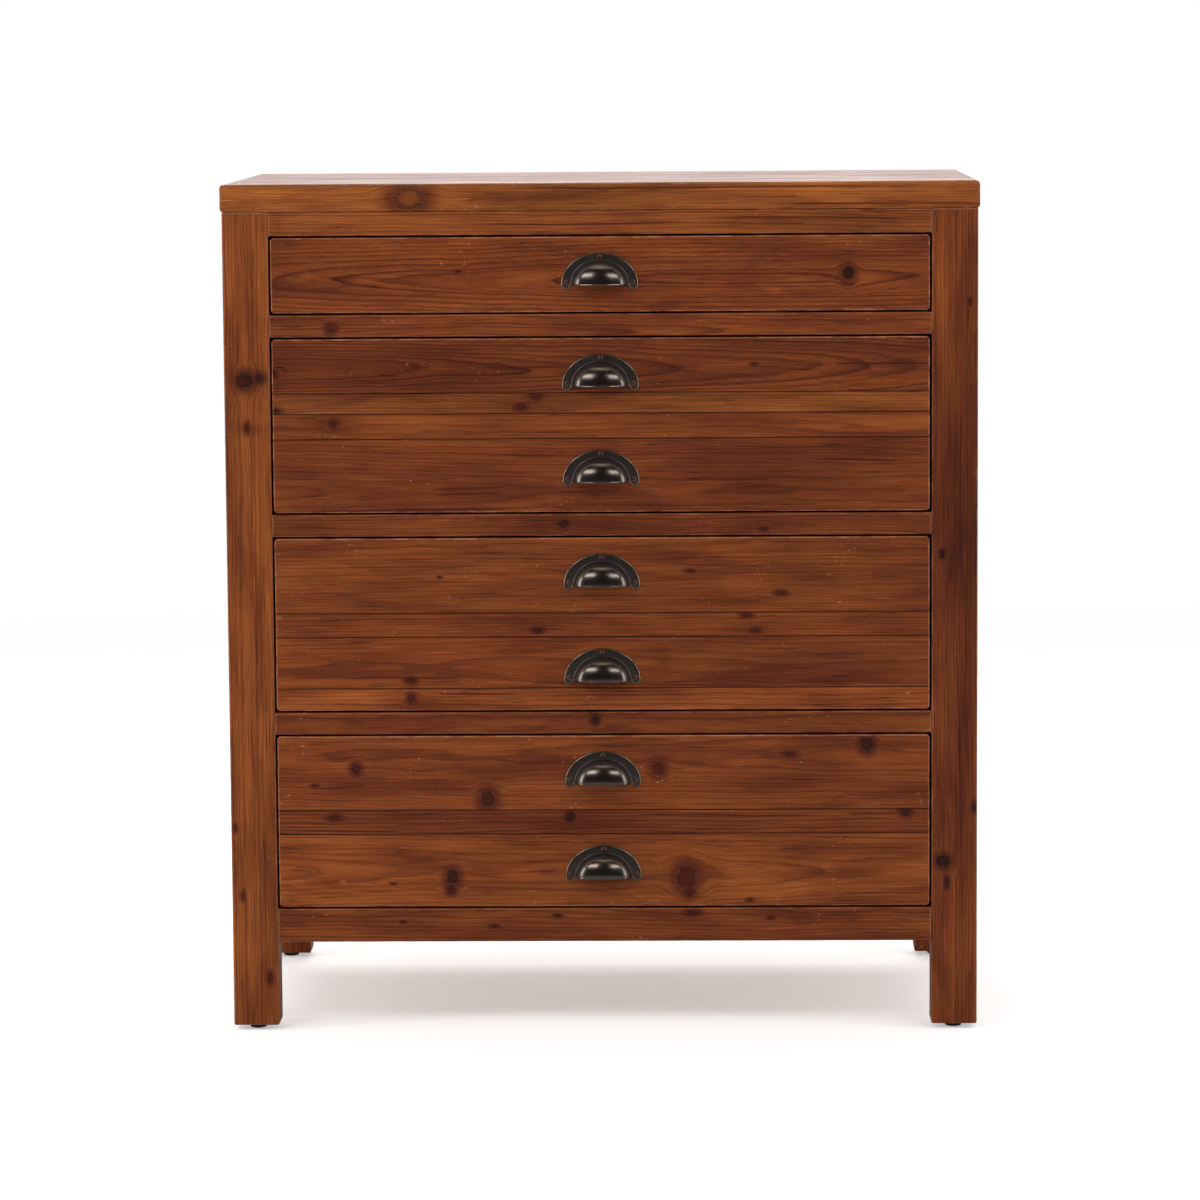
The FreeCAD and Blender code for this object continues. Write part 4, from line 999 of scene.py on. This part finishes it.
def cup_pull(wide, rise, out):
    """A cup pull, in millimetres: a half dome on a flat plate, with ears below and a rolled lip."""
    half, cup_half, wall, lip, fillet = wide / 2, CUP_WIDTH / 2, 2.0, 1.0, 4.5
    bm = bmesh.new()
    rim = [(0, 0), (0, 0.7), (-0.25, 1.25), (-0.8, 1.75), (-1.5, PLATE)]
    outline = [(half + r, depth) for r, depth in rim]
    outline += [(cup_half + fillet * (1 - math.sin(t)), PLATE + fillet * (1 - math.cos(t)))
                for t in [math.pi / 2 * i / 8 for i in range(8)]]
    outline += cup_line(cup_half, PLATE + fillet, out - 0.4, 26)
    outline += cup_line(cup_half - wall, PLATE + fillet - 1.0, out - wall, 26)[::-1]
    outline.append((cup_half - wall, 0.0))
    turned(bm, outline, 0, math.pi, 72)
    bmesh.ops.scale(bm, vec=(1, 1, rise / half), verts=bm.verts)
    ear = [(EAR + r, depth) for r, depth in rim] + [(0, PLATE), (0, 0)]
    for side in (-1, 1):
        turned(bm, ear, side * (half - EAR), -math.pi, 24)
    bmesh.ops.recalc_face_normals(bm, faces=bm.faces)
    bmesh.ops.bevel(
        bm, geom=[e for e in bm.edges if len(e.link_faces) == 2 and e.calc_face_angle() > SHARP
                  and min(v.co.y for v in e.verts) < -PLATE - 0.1],
        offset=0.4, segments=2, profile=0.5, affect="EDGES", material=-1, clamp_overlap=True)
    arm = [(cup_half - 0.7, PLATE - 1.0)] + cup_line(cup_half - 0.7, PLATE + fillet, out - lip, 30)
    arm += [(-r, depth) for r, depth in arm[-2::-1]]
    gather(bm, bead([(r, -depth, 0.5) for r, depth in arm], lip))

    # The crown and the lip, and the rims of the flange and the ears, are paler: bronze that hands
    # have polished, with a painted highlight along the rims and a painted glint across the crown.
    polish = bm.verts.layers.float.new("polish")
    for vert in bm.verts:
        x, y, z = vert.co
        if y < -PLATE - 0.3:
            # A band of painted glint, with some real polish, across the top of the dome.
            crown = 0.45 * math.exp(-(x / 14) ** 2 - ((z - 20 + x * x / 60) / 2.6) ** 2)
            rubbed = 0.62 * min(1, max(0, (-y - PLATE - 5) / (out - PLATE - 5) * 1.5))
            vert[polish] = max(rubbed + crown, 0.8 if z < 1.0 else 0)
        elif -PLATE + 0.1 < y:
            vert[polish] = 1.0
    return bm


class SEED_OT_pulls(bpy.types.Operator):
    """Makes the seven cup pulls, with their flanges, ears and rolled lips"""

    bl_idname = "seed_cabinet.pulls"
    bl_label = "Pulls"

    def execute(self, context):
        metal = finish("Aged bronze", aged_bronze, context.scene.seed_cabinet_metal)
        for node in PULLS:
            low, high = box(node)
            bm = cup_pull(high.x - low.x, high.z - low.z - EAR, high.y - low.y)
            bmesh.ops.translate(bm, vec=(0, high.y, low.z + EAR), verts=bm.verts)
            settle(loose_object(node + "_cup", bm, MM), "_".join(node.split("_")[:2]),
                   "aged_bronze", metal, node, angle=32)
        return {"FINISHED"}


def lathed(profile, axis, steps):
    """A solid turned about an axis, from its radii and heights."""
    bm = bmesh.new()
    line = [bm.verts.new(Vector((radius, 0, 0)) + Vector(axis) * height)
            for radius, height in profile]
    edges = [bm.edges.new(pair) for pair in zip(line, line[1:])]
    bmesh.ops.spin(bm, geom=line + edges, cent=(0, 0, 0), axis=axis, angle=math.tau, steps=steps,
                   use_merge=True, use_duplicate=False)
    bmesh.ops.remove_doubles(bm, verts=bm.verts, dist=1e-4)
    bmesh.ops.holes_fill(bm, edges=[e for e in bm.edges if e.is_boundary], sides=0)
    bmesh.ops.recalc_face_normals(bm, faces=bm.faces)
    return bm


def screw_head():
    """A countersunk, domed screw with a cross in its head, in millimetres, as a mesh."""
    bm = lathed(((0, 3.05), (1.0, 3.0), (1.9, 2.8), (2.6, 2.45), (3.1, 2.05), (3.2, 1.6), (1.5, 0),
                 (1.5, -12)), (0, -1, 0), 28)
    bars = []
    for turn in (0, math.pi / 2):
        bar = bmesh.new()
        bmesh.ops.create_cube(
            bar, size=1, matrix=Matrix.Rotation(turn, 4, "Y")
            @ Matrix.Translation((0, -2.9, 0)) @ Matrix.Diagonal((3.6, 2.2, 0.95, 1)))
        bars.append(loose_object("bar", bar))
    bm = socketed(bm, bars)
    for bar in bars:
        drop(bar)
    return as_mesh("screw", bm)


class SEED_OT_pull_screws(bpy.types.Operator):
    """Makes the countersunk, cross-headed screws that hold the pulls"""

    bl_idname = "seed_cabinet.pull_screws"
    bl_label = "Pull screws"

    def execute(self, context):
        metal = finish("Bronzed steel", plain_metal, "Bronzed steel",
                       context.scene.seed_cabinet_metal.screw, 0.55)
        head, chance = screw_head(), random.Random(7)
        for n in DRAWERS:
            whole = bmesh.new()
            for node in [name for name in PULLS if name.startswith(f"drawer_{n}_")]:
                low, high = box(node)
                for x, z in SCREWS:
                    old = set(whole.verts)
                    whole.from_mesh(head)
                    new = [v for v in whole.verts if v not in old]
                    bmesh.ops.rotate(whole, verts=new, cent=(0, 0, 0),
                                     matrix=Matrix.Rotation(chance.uniform(0, math.pi), 3, "Y"))
                    bmesh.ops.translate(whole, verts=new, vec=(x, high.y, low.z + EAR + z))
            settle(loose_object(f"drawer_{n}_pull_screw_heads", whole, MM), f"drawer_{n}",
                   "bronze_screw", metal, f"drawer_{n}_pull_screws", angle=30)
        bpy.data.meshes.remove(head)
        return {"FINISHED"}


class SEED_OT_glides(bpy.types.Operator):
    """Makes the nailed plastic glides under the posts"""

    bl_idname = "seed_cabinet.glides"
    bl_label = "Glides"

    def execute(self, context):
        whole = bmesh.new()
        low, high = box("foot_glides")
        for x, y in itertools.product((low.x + GLIDE, high.x - GLIDE),
                                      (low.y + GLIDE, high.y - GLIDE)):
            bm = lathed(((3, 1.2), (5.2, 0.9), (6.0, 0), (7.6, 0), (9.2, 0.5), (9.9, 1.8),
                         (GLIDE, 3), (GLIDE, 6), (0, 6)), (0, 0, 1), 40)
            bmesh.ops.translate(bm, vec=(x, y, 0), verts=bm.verts)
            gather(whole, as_mesh("part", bm))
        settle(loose_object("glide_pads", whole, MM), "carcass", "glide_plastic",
               finish("Moulded plastic", glide_plastic, context.scene.seed_cabinet_metal),
               "foot_glides", angle=30)
        return {"FINISHED"}


# ---------------------------------------------------------------- the stage


class SEED_OT_stage(bpy.types.Operator):
    """Sets out the floor, the lamps, the dark flag, the room's light and the camera"""

    bl_idname = "seed_cabinet.stage"
    bl_label = "Stage"

    def execute(self, context):
        scene, look = context.scene, context.scene.seed_cabinet_stage
        scene.view_settings.view_transform = "Standard"

        bm = bmesh.new()
        bmesh.ops.create_circle(bm, cap_ends=True, segments=96, radius=9)
        floor = loose_object("floor", bm)
        made, add = new_material("Painted floor")
        place = add("TexCoord").outputs["Object"]
        paint = add("BsdfPrincipled", add(
            "Mix RGBA", add("MapRange", add("TexNoise", place, 400, 2), 0, 1, 0, 0.04), look.floor,
            colour("#d8d8d8")), Roughness=0.8)
        # To the camera it is a little brighter, so that only the chest's shadow is grey, and it
        # thins out to the white room before its edge. From below it can be seen through.
        glow = add("Emission", Strength=add(
            "Math MULTIPLY", add("LightPath").outputs["Is Camera Ray"], look.lift))
        gone = add("Math MAXIMUM", add(
            "MapRange SMOOTHSTEP", add("VectorMath LENGTH", place), 1.2, 4.5),
            add("NewGeometry").outputs["Backfacing"])
        add("OutputMaterial", add(
            "MixShader", gone, add("AddShader", paint, glow), add("BsdfTransparent")))
        floor.data.materials.append(made)

        # The flag is a shell of cloth round the front, and only what mirrors it can see it.
        bm = bmesh.new()
        turn, away = math.radians(74), 7.5
        line = []
        for rise in [math.radians(6 * i) for i in range(12)]:
            out = away * math.cos(rise)
            line.append(bm.verts.new((
                -out * math.sin(turn), -out * math.cos(turn), away * math.sin(rise) - 0.02)))
        arc = [bm.edges.new(pair) for pair in zip(line, line[1:])]
        bmesh.ops.spin(bm, geom=line + arc, cent=(0, 0, 0), axis=(0, 0, 1),
                       angle=2 * turn, steps=48, use_merge=False, use_duplicate=False)
        card = loose_object("flag", bm)
        cloth, add = new_material("Black cloth")
        add("OutputMaterial", add(
            "BsdfPrincipled", look.flag, Roughness=1.0, Specular_IOR_Level=0.0))
        card.data.materials.append(cloth)
        for sight in ("camera", "diffuse", "shadow", "transmission"):
            setattr(card, "visible_" + sight, False)

        for name, power, size, at, aim in (
                ("key", look.key, (2.2, 0.8), (-2.0, -2.6, 2.9), (0, -0.2, 0.55)),
                ("fill", look.key * 0.8, (2.2, 0.8), (2.1, -2.6, 2.8), (0, -0.2, 0.5)),
                ("back", look.back, (3.0, 1.2), (0, 2.6, 2.3), (0, 0, 1.0)),
                ("left_strip", look.strip, (0.45, 1.5), (-2.6, -1.0, 1.0), (0, -0.2, 0.7)),
                ("right_strip", look.strip * 0.8, (0.45, 1.5), (2.6, -1.0, 1.0), (0, -0.2, 0.7))):
            lamp = bpy.data.lights.new(name, "AREA")
            lamp.energy, lamp.shape, (lamp.size, lamp.size_y) = power, "RECTANGLE", size
            held = bpy.data.objects.new(name, lamp)
            held.location = at
            held.rotation_euler = (Vector(aim) - Vector(at)).to_track_quat("-Z", "Y").to_euler()
            scene.collection.objects.link(held)

        world = bpy.data.worlds.new("Studio")
        scene.world = world
        world.use_nodes = True
        world.node_tree.nodes.clear()
        add = partial(add_node, world.node_tree)
        ray = add("LightPath").outputs
        seen = add("Math MAXIMUM", add("Math MAXIMUM", ray["Is Camera Ray"], ray["Is Glossy Ray"]),
                   ray["Is Transmission Ray"])
        add("OutputWorld", add(
            "Background", (1, 1, 1, 1), add("MapRange", seen, 0, 1, look.ambient, 1.0)))

        camera = bpy.data.cameras.new("camera")
        camera.lens, camera.sensor_width, camera.clip_end = look.lens, 36, 100
        scene.camera = bpy.data.objects.new("camera", camera)
        scene.camera.location = (0.12329, -5.74409, 1.15289)
        scene.camera.rotation_euler = [math.radians(a) for a in (83.36771, 0.40257, 1.25870)]
        scene.collection.objects.link(scene.camera)
        return {"FINISHED"}


# ---------------------------------------------------------------- the add-on


class SEED_PT_cabinet(bpy.types.Panel):
    """The chest's settings, and a button for each of its pieces"""

    bl_idname = "SEED_PT_cabinet"
    bl_label = "Seed Cabinet"
    bl_space_type = "VIEW_3D"
    bl_region_type = "UI"
    bl_category = "Seed Cabinet"

    def draw(self, context):
        for group in (context.scene.seed_cabinet_pine, context.scene.seed_cabinet_metal,
                      context.scene.seed_cabinet_stage):
            column = self.layout.column(align=True)
            for name in type(group).__annotations__:
                column.prop(group, name)
        for operator in OPERATORS:
            self.layout.operator(operator.bl_idname)


SETTINGS = {"pine": PineSettings, "metal": MetalSettings, "stage": StageSettings}
OPERATORS = (
    SEED_OT_top, SEED_OT_posts, SEED_OT_front_rails, SEED_OT_sides, SEED_OT_back, SEED_OT_inside,
    SEED_OT_drawer_fronts, SEED_OT_drawer_boxes, SEED_OT_pulls, SEED_OT_pull_screws,
    SEED_OT_glides, SEED_OT_stage)


def register():
    for kind in (*SETTINGS.values(), *OPERATORS, SEED_PT_cabinet):
        bpy.utils.register_class(kind)
    for name, kind in SETTINGS.items():
        setattr(bpy.types.Scene, "seed_cabinet_" + name, bpy.props.PointerProperty(type=kind))


def unregister():
    for name in SETTINGS:
        delattr(bpy.types.Scene, "seed_cabinet_" + name)
    for kind in reversed((*SETTINGS.values(), *OPERATORS, SEED_PT_cabinet)):
        bpy.utils.unregister_class(kind)


def main():
    register()
    for operator in OPERATORS:
        getattr(bpy.ops.seed_cabinet, operator.bl_idname.split(".")[1])()


if __name__ == "__main__":
    main()
